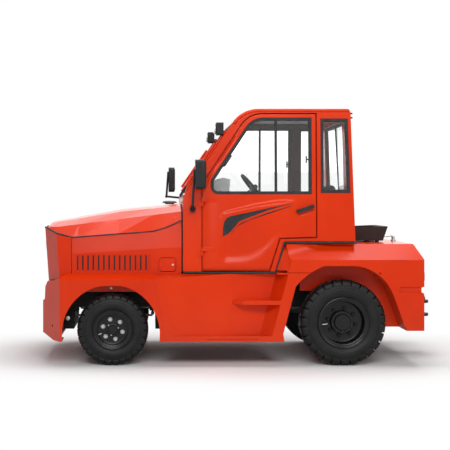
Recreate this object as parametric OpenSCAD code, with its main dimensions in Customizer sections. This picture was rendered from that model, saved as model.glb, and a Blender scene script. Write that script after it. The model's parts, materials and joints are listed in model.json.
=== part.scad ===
// Diesel tow tractor with a steel cab: +X forward, +Y left, +Z up, ground at Z = 0, millimetres.

/* [Overall] */
// Length over the front bumper and the tow hitch
overall_len = 3386; // [3340:1:3460]
// Width over the fenders
body_w = 1560; // [1540:1:1640]
// Roof height above the ground
roof_h = 2124; // [2090:1:2200]
// Distance between the axles
wheelbase = 1900; // [1880:1:1930]
// Front axle to the bumper face
front_overhang = 595; // [590:1:610]
// Ground clearance under the sills
sill_clear = 206; // [190:1:220]
// Ground clearance under the rear body
rear_clear = 296; // [280:1:310]

/* [Wheels] */
// Front tyre diameter over the lugs
front_tyre_d = 590; // [560:1:600]
// Front tyre width
front_tyre_w = 180; // [160:1:190]
// Front rim seat diameter
front_rim_d = 276; // [264:1:290]
// Front track between tyre centres
front_track = 1260; // [1250:1:1270]
// Rear tyre diameter over the lugs
rear_tyre_d = 706; // [680:1:716]
// Rear tyre width
rear_tyre_w = 219; // [200:1:226]
// Rear rim seat diameter
rear_rim_d = 392; // [380:1:400]
// Rear track between tyre centres
rear_track = 1250; // [1240:1:1260]
// Lugs round a front tyre
front_lugs = 28; // [20:1:32]
// Lugs round a rear tyre
rear_lugs = 27; // [20:1:32]
// Depth of the tread between the lugs
lug_depth = 16; // [10:1:20]
// Distance of the king pins from the centre plane
kingpin_y = 530; // [525:1:534]
// King pin diameter
kingpin_d = 34; // [28:1:38]

/* [Body] */
// Thickness of fender and sill plate
plate_t = 14; // [10:1:16]
// Height of the deck beside the hood
fender_z = 755; // [740:1:765]
// Height of the rear deck
deck_z = 999; // [985:1:1010]
// Half width of the hood and engine panels
hood_half = 640; // [630:1:650]
// Thickness of hood and engine panels
panel_t = 10; // [8:1:14]
// Louvres in an engine panel
louvre_n = 14; // [8:1:16]
// Running gap round the hood
hood_gap = 6; // [5:1:9]

/* [Cab] */
// Cab width at the floor
cab_w = 1360; // [1330:1:1370]
// Cab width at the roof
cab_roof_w = 1260; // [1240:1:1290]
// Length of the cab at the floor of the seat
cab_len = 1427; // [1410:1:1440]
// Underside of the cab floor
cab_floor_z = 774; // [770:1:782]
// Height of the windscreen's lower edge
screen_z = 1390; // [1370:1:1410]
// Lean of the windscreen from upright, degrees
screen_lean = 33.6; // [31:0.1:35]
// Radius of the roof's front edge
roof_r = 260; // [240:1:280]
// Roof panel thickness
roof_t = 28; // [22:1:32]
// Door thickness
door_t = 40; // [34:1:44]
// Running gap round a door
door_gap = 10; // [9:1:12]
// Width of the rubber window seals
seal_w = 25; // [20:1:30]
// Glass thickness
glass_t = 6; // [4:1:8]
// Steering wheel diameter
wheel_d = 360; // [340:1:380]

/* [Hitch] */
// Reach of the tow hitch behind the body
hitch_len = 243; // [230:1:260]
// Bore for the tow pin
hitch_bore = 33; // [30:1:36]
// Diameter of the tow pin
tow_pin_d = 31; // [26:1:32]
// Opening between the hitch plates
jaw_h = 92; // [80:1:100]
// Hitch plate thickness
hitch_t = 24; // [18:1:28]

/* [Hidden] */
$fn = 48;
cut = 1;
seat_gap = 0.3;
front_x = overall_len / 2;
hitch_x = -overall_len / 2;
front_axle_x = front_x - front_overhang;
rear_axle_x = front_axle_x - wheelbase;
body_rear_x = hitch_x + hitch_len;
half_w = body_w / 2;
front_axle_z = front_tyre_d / 2;
rear_axle_z = rear_tyre_d / 2;

// Cab stations: the floor steps up behind the driver's feet
cab_front_x = front_axle_x - 581;
cab_rear_x = cab_front_x - cab_len;
step_x = cab_front_x - 759;
step_rise = 248;
step_run = 80;
rear_floor_z = cab_floor_z + step_rise;
rear_lean_run = 33;
cab_lean = atan((cab_w - cab_roof_w) / 2 / (roof_h - cab_floor_z));
side_t = door_t + 16;
stop_t = 10;
floor_t = 20;

// Hood stations and edge lines
nose_back_x = front_x - 250;
hood_back_x = cab_front_x + 13;
hinge_x = front_x - 24;
hinge_z = 1137;
grille_z = 690;

paint = [0.87, 0.22, 0.07];
black = [0.12, 0.12, 0.13];
steel = [0.62, 0.63, 0.65];
dark_steel = [0.25, 0.26, 0.28];
rubber = [0.18, 0.18, 0.19];
tint = [0.35, 0.42, 0.44];
grey = [0.5, 0.5, 0.5];

// Extrude an outline drawn in X and Z between two Y values
module side_extrude(y0, y1) {
    translate([0, y1, 0]) rotate([90, 0, 0]) linear_extrude(y1 - y0) children();
}

// Extrude an outline drawn in Y and Z between two X values
module front_extrude(x0, x1) {
    translate([x0, 0, 0]) rotate([90, 0, 90]) linear_extrude(x1 - x0) children();
}

// Extrude an outline drawn in X and Y between two Z values
module plan_extrude(z0, z1) {
    translate([0, 0, z0]) linear_extrude(z1 - z0) children();
}

module both_sides() {
    children();
    mirror([0, 1, 0]) children();
}

module block(x0, x1, y0, y1, z0, z1) {
    translate([x0, y0, z0]) cube([x1 - x0, y1 - y0, z1 - z0]);
}

// Cylinder along Y between two Y values
module rod_y(x, z, r, y0, y1) {
    translate([x, y1, z]) rotate([90, 0, 0]) cylinder(r = r, h = y1 - y0);
}

module rod_x(y, z, r, x0, x1) {
    translate([x0, y, z]) rotate([0, 90, 0]) cylinder(r = r, h = x1 - x0);
}

// Round bar from one point to another
module bar(a, b, r) {
    d = b - a;
    l = norm(d);
    translate(a) rotate([0, acos(d[2] / l), atan2(d[1], d[0])]) cylinder(r = r, h = l);
}

// Rectangle with round corners, drawn round its own centre
module round_rect(w, h, r) {
    square([w - 2 * r, h], center = true);
    square([w, h - 2 * r], center = true);
    for (sx = [-1, 1], sz = [-1, 1])
        translate([sx * (w / 2 - r), sz * (h / 2 - r)]) circle(r = r);
}

// Front wheel arch outline
arch_r = front_tyre_d / 2 + 105;
arch_top = front_axle_z + 370;
arch_crown_r = 900;
module front_arch(grow) {
    intersection() {
        union() {
            translate([front_axle_x + 12, front_axle_z - 23]) circle(r = arch_r + grow, $fn = 180);
            translate([front_axle_x + 12 - arch_r - grow, 0])
                square([2 * (arch_r + grow), front_axle_z - 23]);
        }
        translate([front_axle_x, arch_top - arch_crown_r])
            circle(r = arch_crown_r + grow, $fn = 360);
    }
}

// Rear wheel arch outline: a wide arc in front, a tighter one behind, and leaning legs
rear_arch_r = rear_tyre_d / 2 + 161;
back_arch_r = rear_tyre_d / 2 + 7;
arch_split = -57;
arch_rise = 473;
arch_foot = -153;
module rear_arch(grow) {
    back_c = [arch_split, arch_rise - back_arch_r];
    back_end = back_c + (back_arch_r + grow) * [cos(157), sin(157)];
    translate([rear_axle_x, rear_axle_z]) {
        intersection() {
            translate([-5, -12]) circle(r = rear_arch_r + grow, $fn = 180);
            polygon([
                [522 + grow, arch_foot],
                [357 + grow, arch_rise + grow],
                [arch_split - cut, arch_rise + grow],
                [arch_split - cut, arch_foot]
            ]);
        }
        intersection() {
            translate(back_c) circle(r = back_arch_r + grow, $fn = 180);
            translate([arch_split - 2 * back_arch_r, arch_foot])
                square([2 * back_arch_r, 2 * back_arch_r]);
        }
        polygon([back_c, back_end, [-541 - grow, arch_foot], [arch_split, arch_foot]]);
    }
}

// Side line of the sill's front edge and the fender's rear edge
sill_front_top = front_axle_x - 341;
sill_front_low = sill_front_top - 96;
sill_back_x = rear_axle_x + 502;
sill_top = fender_z + 13;
edge_drop = 41;
edge_run = 95;

// Front bumper and both front fenders: one welded shell
bumper_top = grille_z - 3;
module fender_outline(t) {
    polygon([
        [sill_front_top + 4 + t, fender_z - t],
        [front_x - 203, fender_z - t],
        [front_x - 108 - t, bumper_top + 13 - t],
        [front_x - 46 - t, bumper_top - t],
        [front_x - 23 - t, bumper_top - 47 - t],
        [front_x - 18 - t, bumper_top - 158],
        [front_x - t, bumper_top - 166],
        [front_x - t, sill_clear + 46 + t],
        [front_x - 105 - t, sill_clear + t],
        [sill_front_low + 4 + t, sill_clear + t]
    ]);
}

module fender_shape(t) {
    intersection() {
        side_extrude(-half_w + t, half_w - t) fender_outline(t);
        plan_extrude(0, fender_z + cut)
            polygon([
                [0, half_w],
                [front_x - 165 - t, half_w],
                [front_x - t * 0.7, half_w - 280 - t * 0.7],
                [front_x - t * 0.7, -half_w + 280 + t * 0.7],
                [front_x - 165 - t, -half_w],
                [0, -half_w]
            ]);
        front_extrude(0, front_x)
            polygon([
                [-half_w, 0],
                [-half_w, fender_z - edge_drop - t * 0.6],
                [-half_w + edge_run + t * 0.6, fender_z],
                [half_w - edge_run - t * 0.6, fender_z],
                [half_w, fender_z - edge_drop - t * 0.6],
                [half_w, 0]
            ]);
    }
}

bay_half = hood_half - 45;
tyre_clear = 10;
module front_bumper() {
    color(paint) difference() {
        union() {
            difference() {
                fender_shape(0);
                fender_shape(plate_t);
                side_extrude(-half_w - cut, half_w + cut) front_arch(0);
            }
            // inner walls over the tyres
            both_sides()
                block(sill_front_top + 10, front_x - 203, bay_half, bay_half + plate_t,
                    front_axle_z + front_tyre_d / 2 + tyre_clear, fender_z - plate_t / 2);
        }
        block(0, front_x - 70, -bay_half, bay_half, bumper_top - 100, fender_z + cut);
        block(0, front_x - 150, -bay_half, bay_half, 0, fender_z + cut);
        both_sides()
            translate([front_x - 95, half_w - 120, bumper_top - 365])
                rotate([0, 90, 60]) cylinder(r = 9, h = 120, center = true);
    }
}

// Side sills: closed boxes with a face that falls back into foot wells, and a step shelf
shelf_z = 508;
shelf_t = 34;
shelf_front = step_x + 360;
flange_h = 46;
recess_t = 8;
well_slope = 0.15;
sill_in = half_w - 175;
recess_lo = sill_clear + flange_h;
function along(low, high, z) = low + (high - low) * (z - recess_lo) / (fender_z - recess_lo);
function strip_x(z) = along(sill_front_low - 77, sill_front_top - 36, z);
function well_x(z) = along(step_x + 124, step_x - 17, z);
function wall_x(z) = along(step_x + 32, step_x - 98, z);
function face_y(x, z) = half_w - recess_t - well_slope * (strip_x(z) - x);
module sill_outline(t) {
    difference() {
        polygon([
            [sill_front_top - t, fender_z - t],
            [sill_front_low - t, sill_clear + t],
            [sill_back_x + t, sill_clear + t],
            [sill_back_x - 300, sill_top - t],
            [step_x - 10, sill_top - t],
            [step_x - 8, fender_z - t]
        ]);
        rear_arch(t);
    }
}

// Cut for the falling face and the leaning wall behind it, in plan at one height
function recess_plan(z, t) = [
    [strip_x(z) + t, half_w + cut],
    [strip_x(z) + t, half_w - recess_t - t],
    [well_x(z) - t / 3, face_y(well_x(z), z) - t],
    [wall_x(z) - 1.2 * t, half_w + cut]
];
module sill_recess(t) {
    loft_z(recess_plan(recess_lo - t, t), recess_plan(fender_z + cut, t), recess_lo - t, fender_z + cut);
}

module step_shelf() {
    mid = shelf_z + shelf_t / 2;
    plan_extrude(shelf_z, shelf_z + shelf_t)
        polygon([
            [shelf_front, face_y(shelf_front, mid) - plate_t / 2],
            [shelf_front - 94, half_w],
            [wall_x(mid) - plate_t / 2, half_w],
            [well_x(mid), face_y(well_x(mid), mid) - plate_t / 2]
        ]);
}

module sill_shape(t) {
    difference() {
        side_extrude(sill_in + t, half_w - t) sill_outline(t);
        front_extrude(step_x, sill_front_top + cut)
            polygon([
                [half_w - edge_run - t * 0.6, fender_z + cut],
                [half_w - edge_run - t * 0.6, fender_z],
                [half_w, fender_z - edge_drop - t * 0.6],
                [half_w + cut, fender_z + cut]
            ]);
    }
}

module side_sills() {
    color(paint) both_sides() {
        difference() {
            sill_shape(0);
            sill_recess(0);
            difference() {
                sill_shape(plate_t);
                sill_recess(plate_t);
            }
        }
        step_shelf();
    }
}

// Rear body: deck, fenders and rear wall with liners round the wheels
rear_edge_z = deck_z - 124;
rear_edge_run = 160;
liner_in = rear_track / 2 - rear_tyre_w / 2 - 24;
function deck_front_x(z) = step_x - 8 - step_run * (z - sill_top - 4) / (deck_z - sill_top - 4);
// Bevel on the fender's front edge, in line with the leaning wall of the sill
bevel_in = 92;
function bevel_plan(z, t) = [
    [wall_x(z) - 1.4 * t, half_w + cut],
    [deck_front_x(z) + 60, half_w + cut],
    [deck_front_x(z) + 60, half_w - bevel_in],
    [deck_front_x(z) - 1.4 * t, half_w - bevel_in]
];
module front_bevel(t) {
    both_sides()
        loft_z(bevel_plan(sill_top, t), bevel_plan(deck_z + cut, t), sill_top, deck_z + cut);
}

// Inner shoulder of the fender, running out along the deck
shoulder_back = rear_axle_x - 60;
module shoulder() {
    x = deck_front_x(deck_z) - 4;
    low_y = half_w - rear_edge_run * 0.17;
    low_z = rear_edge_z + 14;
    polyhedron(
        points = [
            [x, low_y, low_z],
            [x, cab_w / 2 + 20, deck_z],
            [x, half_w - rear_edge_run - 10, deck_z - plate_t / 2],
            [shoulder_back, half_w - rear_edge_run - 2, deck_z - 1]
        ],
        faces = [[0, 2, 1], [0, 1, 3], [1, 2, 3], [0, 3, 2]]
    );
}

module rear_shape(t) {
    difference() {
        rear_block(t);
        front_bevel(t);
    }
}

module rear_block(t) {
    intersection() {
        side_extrude(-half_w + t, half_w - t)
            polygon([
                [step_x - 8 - t, sill_top + 4],
                [step_x - 8 - t - step_run, deck_z - t],
                [body_rear_x + 51 + t, deck_z - t],
                [body_rear_x + t, rear_edge_z + 5 - t * 0.5],
                [body_rear_x + t, t > 0 ? rear_clear - cut : rear_clear],
                [rear_axle_x - 490, t > 0 ? rear_clear - cut : rear_clear],
                [rear_axle_x - 290, sill_top + 4]
            ]);
        front_extrude(body_rear_x, step_x)
            polygon([
                [-half_w, 0],
                [-half_w, rear_edge_z - t * 0.5],
                [-half_w + rear_edge_run + t * 0.5, deck_z],
                [half_w - rear_edge_run - t * 0.5, deck_z],
                [half_w, rear_edge_z - t * 0.5],
                [half_w, 0]
            ]);
    }
}

pin_x = body_rear_x + 68;
liner_lo = 600;
module rear_body() {
    color(paint) difference() {
        union() {
            difference() {
                rear_shape(0);
                rear_shape(plate_t);
                block(rear_axle_x - 520, step_x, -half_w + plate_t, half_w - plate_t, rear_clear - cut,
                    sill_top + 4 + plate_t);
            }
            difference() {
                both_sides() shoulder();
                front_bevel(0);
            }
            // wall behind the tyre, down to the axle's travel
            both_sides()
                intersection() {
                    side_extrude(liner_in, liner_in + plate_t) rear_arch(0);
                    block(rear_axle_x - 250, rear_axle_x + 330, 0, half_w, liner_lo, deck_z - plate_t);
                }
            both_sides()
                intersection() {
                    side_extrude(liner_in, half_w - cut) rear_arch(plate_t);
                    block(body_rear_x, step_x, 0, half_w, rear_clear, deck_z);
                    union() {
                        block(body_rear_x, step_x, 0, half_w, sill_top + 4, deck_z);
                        block(body_rear_x, rear_axle_x - 150, 0, half_w, rear_clear, deck_z);
                    }
                }
        }
        both_sides() side_extrude(liner_in + plate_t, half_w + cut) rear_arch(0);
        // groove round the rear corners
        both_sides()
            block(body_rear_x - cut, rear_axle_x - 448, half_w - 7, half_w + cut, 606, 655);
        block(body_rear_x - cut, body_rear_x + 7, -half_w - cut, half_w + cut, 606, 655);
        translate([pin_x, 0, deck_z - 4 * plate_t])
            cylinder(d = tow_pin_d + 2, h = 5 * plate_t);
    }
}

// Hood seam height along the tractor
seam_line = [
    [hood_back_x - 5, 1199],
    [cab_front_x + 75, 1170],
    [cab_front_x + 154, 1135],
    [cab_front_x + 249, 1109],
    [nose_back_x - 10, 1059],
    [front_x - 124, 1092],
    [front_x - 30, 1133],
    [front_x, 1133]
];
function seam_z(x) = lookup(x, seam_line);

// Nose cowl: a leaning front with swept corners, open to the hood above
nose_rise = 440;
nose_run = 30;
nose_lean = atan(nose_run / nose_rise);
nose_t = 12;
nose_face_half = 450;
grille_half = 255;
grille_lo = 70;
grille_hi = 365;
lamp_y = 350;
lamp_z = 290;
lamp_w = 130;
lamp_h = 120;

// Closed solid between two plan outlines of the same length at two heights
module loft_z(low, high, z0, z1) {
    n = len(low);
    polyhedron(
        points = concat(
            [for (p = low) [p[0], p[1], z0]],
            [for (p = high) [p[0], p[1], z1]]
        ),
        faces = concat(
            [[for (i = [n - 1 : -1 : 0]) i]],
            [[for (i = [0 : n - 1]) n + i]],
            [for (i = [0 : n - 1]) [i, (i + 1) % n, n + i]],
            [for (i = [0 : n - 1]) [n + i, (i + 1) % n, n + (i + 1) % n]]
        )
    );
}

function nose_plan(t, dx, back) = [
    [nose_back_x - back, hood_half - t],
    [front_x - 153 + dx - t * 0.6, hood_half - t],
    [front_x - 43 + dx - t, nose_face_half - t * 0.4],
    [front_x - 43 + dx - t, -nose_face_half + t * 0.4],
    [front_x - 153 + dx - t * 0.6, -hood_half + t],
    [nose_back_x - back, -hood_half + t]
];

module nose_place() {
    translate([front_x - 43, 0, grille_z]) rotate([0, nose_lean, 0]) children();
}

module lamp_block(out) {
    block(-40, out, lamp_y - lamp_w / 2, lamp_y + lamp_w / 2, lamp_z - lamp_h / 2, lamp_z + lamp_h / 2);
}

module nose_cowl() {
    color(paint) {
        difference() {
            loft_z(nose_plan(0, -nose_run * 0.1, 0), nose_plan(0, nose_run * 1.1, 0),
                grille_z - nose_rise * 0.1, grille_z + nose_rise * 1.1);
            loft_z(nose_plan(nose_t, -nose_run * 0.2, cut), nose_plan(nose_t, nose_run * 1.2, cut),
                grille_z - nose_rise * 0.2, grille_z + nose_rise * 1.2);
            // lower edge on the fender deck
            side_extrude(-half_w, half_w)
                polygon([
                    [nose_back_x - cut, fender_z],
                    [front_x - 203, fender_z],
                    [front_x - 108, bumper_top + 13],
                    [front_x - 46, bumper_top],
                    [front_x, bumper_top],
                    [front_x, 0],
                    [nose_back_x - cut, 0]
                ]);
            // upper edge under the hood seam
            side_extrude(-half_w, half_w)
                polygon([
                    [nose_back_x - cut, seam_z(nose_back_x) - hood_gap],
                    [front_x - 124, seam_z(front_x - 124) - hood_gap],
                    [front_x - 30, seam_z(front_x - 30) - hood_gap],
                    [front_x, seam_z(front_x - 30) - hood_gap],
                    [front_x, 2 * hinge_z],
                    [nose_back_x - cut, 2 * hinge_z]
                ]);
            nose_place() {
                block(-40, 40, -grille_half, grille_half, grille_lo, grille_hi);
                both_sides() lamp_block(40);
            }
        }
        // hood hinge ears with their pins
        both_sides() hood_hinge_ears();
    }
}

hinge_y = 300;
hinge_w = 60;
hinge_r = 8;
hinge_pin_r = 4;
module hood_hinge_ears() {
    for (y = [hinge_y - hinge_w / 2 - 31, hinge_y + hinge_w / 2 + 1]) {
        rod_y(hinge_x, hinge_z, hinge_r, y, y + 30);
        block(hinge_x - 3, hinge_x + hinge_r, y, y + 30, hinge_z - 40, hinge_z);
    }
    rod_y(hinge_x, hinge_z, hinge_pin_r, hinge_y - hinge_w / 2 - 10, hinge_y + hinge_w / 2 + 10);
}

// Grille: frame and bars set into the nose
bar_n = 9;
module grille() {
    color(black) nose_place() {
        difference() {
            block(-nose_t, 4, -grille_half, grille_half, grille_lo, grille_hi);
            block(-nose_t - cut, 4 + cut, -grille_half + 14, grille_half - 14, grille_lo + 14,
                grille_hi - 14);
        }
        pitch = (grille_hi - grille_lo - 28) / bar_n;
        for (i = [0 : bar_n - 1])
            block(-nose_t, 0, -grille_half + 14, grille_half - 14, grille_lo + 14 + (i + 0.3) * pitch,
                grille_lo + 14 + (i + 0.75) * pitch);
    }
}

module headlamps() {
    color([0.9, 0.92, 0.93]) both_sides()
        nose_place() {
            lamp_block(2);
            translate([2, lamp_y, lamp_z]) rotate([0, 90, 0]) cylinder(d = lamp_h - 16, h = 6);
        }
}

// Engine side panels with louvres, the left one open for the fuel flap
flap_front = cab_front_x + 193;
flap_len = 133;
flap_lo = fender_z + 18;
flap_h = 110;
flap_gap = 5;
louvre_x0 = front_x - 308;
louvre_pitch = 43.7;
louvre_lo = fender_z + 26;
louvre_h = 127;
module panel_outline() {
    xs = [nose_back_x - 4, cab_front_x + 249, cab_front_x + 154, cab_front_x + 75, hood_back_x];
    polygon(concat(
        [[hood_back_x, fender_z], [nose_back_x - 4, fender_z]],
        [for (x = xs) [x, seam_z(x) - hood_gap]]
    ));
}

module louvre(x) {
    // wedge that stands out of the panel, open at its rear end
    plan_extrude(louvre_lo, louvre_lo + louvre_h)
        polygon([
            [x, hood_half - panel_t],
            [x, hood_half],
            [x - louvre_pitch * 0.72, hood_half + 11],
            [x - louvre_pitch * 0.72, hood_half + 7],
            [x - 10, hood_half - panel_t]
        ]);
}

module side_panel(with_flap) {
    difference() {
        side_extrude(hood_half - panel_t, hood_half) panel_outline();
        for (i = [0 : louvre_n - 1])
            block(louvre_x0 - (i + 0.72) * louvre_pitch, louvre_x0 - i * louvre_pitch,
                hood_half - panel_t - cut, hood_half + cut, louvre_lo, louvre_lo + louvre_h);
        if (with_flap)
            side_extrude(hood_half - panel_t - cut, hood_half + cut)
                translate([flap_front - flap_len / 2, flap_lo + flap_h / 2])
                    round_rect(flap_len + 2 * flap_gap, flap_h + 2 * flap_gap, 30);
    }
    for (i = [0 : louvre_n - 1]) louvre(louvre_x0 - i * louvre_pitch);
}

flap_axis_x = flap_front + flap_gap / 2;
flap_axis_y = hood_half + 6;
module engine_panels() {
    color(paint) {
        side_panel(true);
        mirror([0, 1, 0]) side_panel(false);
        // fixed knuckle of the flap hinge with its pin
        for (z = [flap_lo + 12, flap_lo + flap_h - 22]) flap_knuckle(z, 10, 0, flap_gap + 12);
        translate([flap_axis_x, flap_axis_y, flap_lo + 14]) cylinder(r = 2.5, h = flap_h - 28);
    }
}

// Hinge knuckle of the flap: a barrel and a leaf on one side of the axis
module flap_knuckle(z, h, x0, x1) {
    translate([flap_axis_x, flap_axis_y, z]) cylinder(r = 6, h = h);
    block(flap_axis_x + min(x0, x1), flap_axis_x + max(x0, x1), hood_half, flap_axis_y + 4, z, z + h);
}

module fuel_flap() {
    color(paint) difference() {
        union() {
            side_extrude(hood_half - panel_t, hood_half)
                translate([flap_front - flap_len / 2, flap_lo + flap_h / 2])
                    round_rect(flap_len, flap_h, 25);
            flap_knuckle(flap_lo + 23, flap_h - 46, -26, 0);
            rod_y(flap_front - flap_len + 24, flap_lo + flap_h / 2, 8, hood_half, hood_half + 3);
        }
        translate([flap_axis_x, flap_axis_y, 0]) cylinder(r = 3, h = roof_h);
    }
}

// Hood: a crowned shell lofted through a few cross-sections
// columns: x, seam half width, seam z, crease half width, crease z, crown z
hood_sections = [
    [hood_back_x, hood_half, seam_z(hood_back_x), 561, 1269, 1334],
    [cab_front_x + 154, hood_half, seam_z(cab_front_x + 154), 550, 1251, 1321],
    [cab_front_x + 249, hood_half, seam_z(cab_front_x + 249), 542, 1239, 1313],
    [front_axle_x - 50, hood_half, seam_z(front_axle_x - 50), 520, 1204, 1287],
    [front_axle_x + 292, hood_half, seam_z(front_axle_x + 292), 494, 1160, 1226],
    [nose_back_x - 10, hood_half, seam_z(nose_back_x - 10), 490, 1155, 1216],
    [front_x - 124, 553, seam_z(front_x - 124), 480, 1138, 1194],
    [front_x - 55, 477, seam_z(front_x - 55), 452, 1138, 1180],
    [front_x - 40, 460, seam_z(front_x - 40), 440, 1134, 1150]
];

// Half section from seam to crown, and the whole ring of outer and inner skin
function hood_half_ring(s, t) = [
    [s[0], s[1] - t, s[2]],
    [s[0], s[3] - t * 0.8, s[4] - t * 0.6],
    [s[0], s[3] * 0.62, s[4] + (s[5] - s[4]) * 0.72 - t],
    [s[0], s[3] * 0.3, s[5] - (s[5] - s[4]) * 0.07 - t]
];
function flip(pts) = [for (i = [len(pts) - 1 : -1 : 0]) [pts[i][0], -pts[i][1], pts[i][2]]];
function back(pts) = [for (i = [len(pts) - 1 : -1 : 0]) pts[i]];
function hood_arc(s, t) = concat(hood_half_ring(s, t), flip(hood_half_ring(s, t)));
function hood_ring(s) = concat(hood_arc(s, 0), back(hood_arc(s, panel_t)));

module hood_shell() {
    rings = [for (s = hood_sections) hood_ring(s)];
    m = len(rings[0]);
    n = len(rings);
    h = m / 2;
    polyhedron(
        points = [for (r = rings, p = r) p],
        faces = concat(
            [for (k = [0 : n - 2], i = [0 : m - 1], q = [0, 1])
                let (a = k * m + i, b = k * m + (i + 1) % m, c = a + m, d = b + m)
                    q == 0 ? [a, c, b] : [b, c, d]],
            [for (i = [0 : h - 2], q = [0, 1])
                q == 0 ? [i, i + 1, m - 1 - i] : [i + 1, m - 2 - i, m - 1 - i]],
            [for (i = [0 : h - 2], q = [0, 1])
                let (o = (n - 1) * m)
                    q == 0 ? [o + i, o + m - 1 - i, o + i + 1]
                        : [o + i + 1, o + m - 1 - i, o + m - 2 - i]]
        )
    );
}

module hood() {
    color(paint) {
        hood_shell();
        both_sides()
            difference() {
                union() {
                    rod_y(hinge_x, hinge_z, hinge_r, hinge_y - hinge_w / 2, hinge_y + hinge_w / 2);
                    block(front_x - 46, hinge_x, hinge_y - hinge_w / 2, hinge_y + hinge_w / 2,
                        hinge_z - 2, hinge_z + hinge_r);
                }
                rod_y(hinge_x, hinge_z, hinge_pin_r + 0.5, hinge_y - hinge_w, hinge_y + hinge_w);
            }
    }
}

// Air pre-cleaner: a domed cap on a short neck through the hood
cleaner_x = cab_front_x + 95;
cleaner_y = -220;
cleaner_z = 1326;
module air_precleaner() {
    color(grey) translate([cleaner_x, cleaner_y, cleaner_z])
        rotate_extrude()
            polygon([[0, 0], [42, 0], [42, 8], [66, 11], [66, 18], [58, 26], [34, 30], [0, 31]]);
}

// Chassis: two box members with cross members, outriggers and cab pedestals
frame_half = 300;
member_w = 28;
frame_lo = 440;
frame_hi = 600;
mount_y = 430;
mount_xs = [cab_front_x - 20, step_x + 90];
mount_lo = cab_floor_z - 60;
guard_xs = [front_axle_x + 393, front_axle_x - 398];
guard_w = 90;
guard_lo = 252;
module chassis_frame() {
    color(black) {
        both_sides() {
            block(body_rear_x + plate_t, nose_back_x + 130, frame_half - member_w, frame_half, frame_lo,
                frame_hi);
            block(nose_back_x + 130, front_x - plate_t, frame_half - member_w, frame_half, frame_lo,
                frame_lo + 75);
            for (x = mount_xs) {
                block(x - 32, x + 32, frame_half, sill_in, frame_lo + 30, frame_hi - 50);
                block(x - 40, x + 40, mount_y - 45, mount_y + 45, frame_hi - 50, mount_lo);
            }
            // shelf under the fuel tank and spring hangers
            for (x = [front_axle_x - spring_half, front_axle_x + spring_half])
                block(x - 26, x + 26, frame_half - member_w, frame_half, front_eye_z + eye_r, frame_lo);
            for (x = [rear_axle_x - rear_spring_half, rear_axle_x + rear_spring_half])
                block(x - 30, x + 30, frame_half, rear_spring_y + 38, rear_eye_z + eye_r, frame_hi - 40);
        }
        block(tank_x0 + 10, tank_x1 - 10, frame_half, tank_y1 - 10, tank_z0 - 14, tank_z0);
        // guards under the radiator and the gearbox
        for (x = guard_xs) {
            block(x - guard_w / 2, x + guard_w / 2, -frame_half, frame_half, guard_lo, guard_lo + 110);
            both_sides()
                block(x - guard_w / 2, x + guard_w / 2, frame_half - member_w, frame_half, guard_lo,
                    frame_lo + cut);
        }
        for (x = [radiator_x, step_x, rear_axle_x - 330])
            block(x - 30, x + 30, -frame_half + member_w, frame_half - member_w,
                frame_hi - 100, frame_hi - 40);
    }
}

// Power train
engine_x0 = front_axle_x - 378;
engine_x1 = front_axle_x + 242;
engine_half = 200;
module engine() {
    color(dark_steel) {
        block(engine_x0, engine_x1, -engine_half, engine_half, frame_lo + 10, 900);
        block(engine_x0 + 40, engine_x1 - 40, -140, 140, 900, 1010);
        for (x = [engine_x0 + 80, engine_x1 - 160])
            both_sides()
                block(x, x + 80, engine_half, frame_half - member_w, frame_hi - 90, frame_hi - 40);
        rod_x(0, 760, 190, engine_x1, engine_x1 + 20);
    }
}

radiator_x = nose_back_x - 18;
module radiator() {
    color(dark_steel) difference() {
        block(radiator_x - 30, radiator_x + 30, -270, 270, frame_hi - 40, 1030);
        for (x = [radiator_x - 30, radiator_x + 30])
            block(x - 6, x + 6, -235, 235, frame_hi + 10, 980);
    }
}

gearbox_x0 = engine_x0 - 370;
shaft_z0 = frame_lo + 50;
shaft_z1 = rear_axle_z + 17;
module gearbox() {
    color(dark_steel) {
        block(gearbox_x0 + 60, engine_x0, -150, 150, frame_lo, 730);
        rod_x(0, shaft_z0, 70, gearbox_x0, gearbox_x0 + 60);
    }
}

diff_r = 140;
diff_nose = 160;
module propeller_shaft() {
    color(steel) {
        a = [rear_axle_x + diff_nose, 0, shaft_z1];
        b = [gearbox_x0, 0, shaft_z0];
        u = (b - a) / norm(b - a);
        bar(a + u * 30, b - u * 30, 32);
        rod_x(0, shaft_z1, 45, a[0], a[0] + 40);
        rod_x(0, shaft_z0, 45, b[0] - 40, b[0]);
    }
}

// Rear axle: banjo housing, tubes, brake drums and stub axles
rear_hub_y = rear_track / 2;
drum_in = rear_hub_y - 118;
drum_out = rear_hub_y - 62;
stub_r = 45;
module rear_axle() {
    color(dark_steel) {
        translate([rear_axle_x, 0, rear_axle_z]) sphere(r = diff_r);
        rod_x(0, shaft_z1, 60, rear_axle_x, rear_axle_x + diff_nose);
        rod_y(rear_axle_x, rear_axle_z, 60, -drum_in, drum_in);
        both_sides() {
            rod_y(rear_axle_x, rear_axle_z, 150, drum_in, drum_out);
            rod_y(rear_axle_x, rear_axle_z, stub_r, drum_out, rear_hub_y + 24);
            block(rear_axle_x - 60, rear_axle_x + 60, rear_spring_y - 38, rear_spring_y + 38, rear_axle_z,
                rear_pad_z);
        }
    }
}

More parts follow.
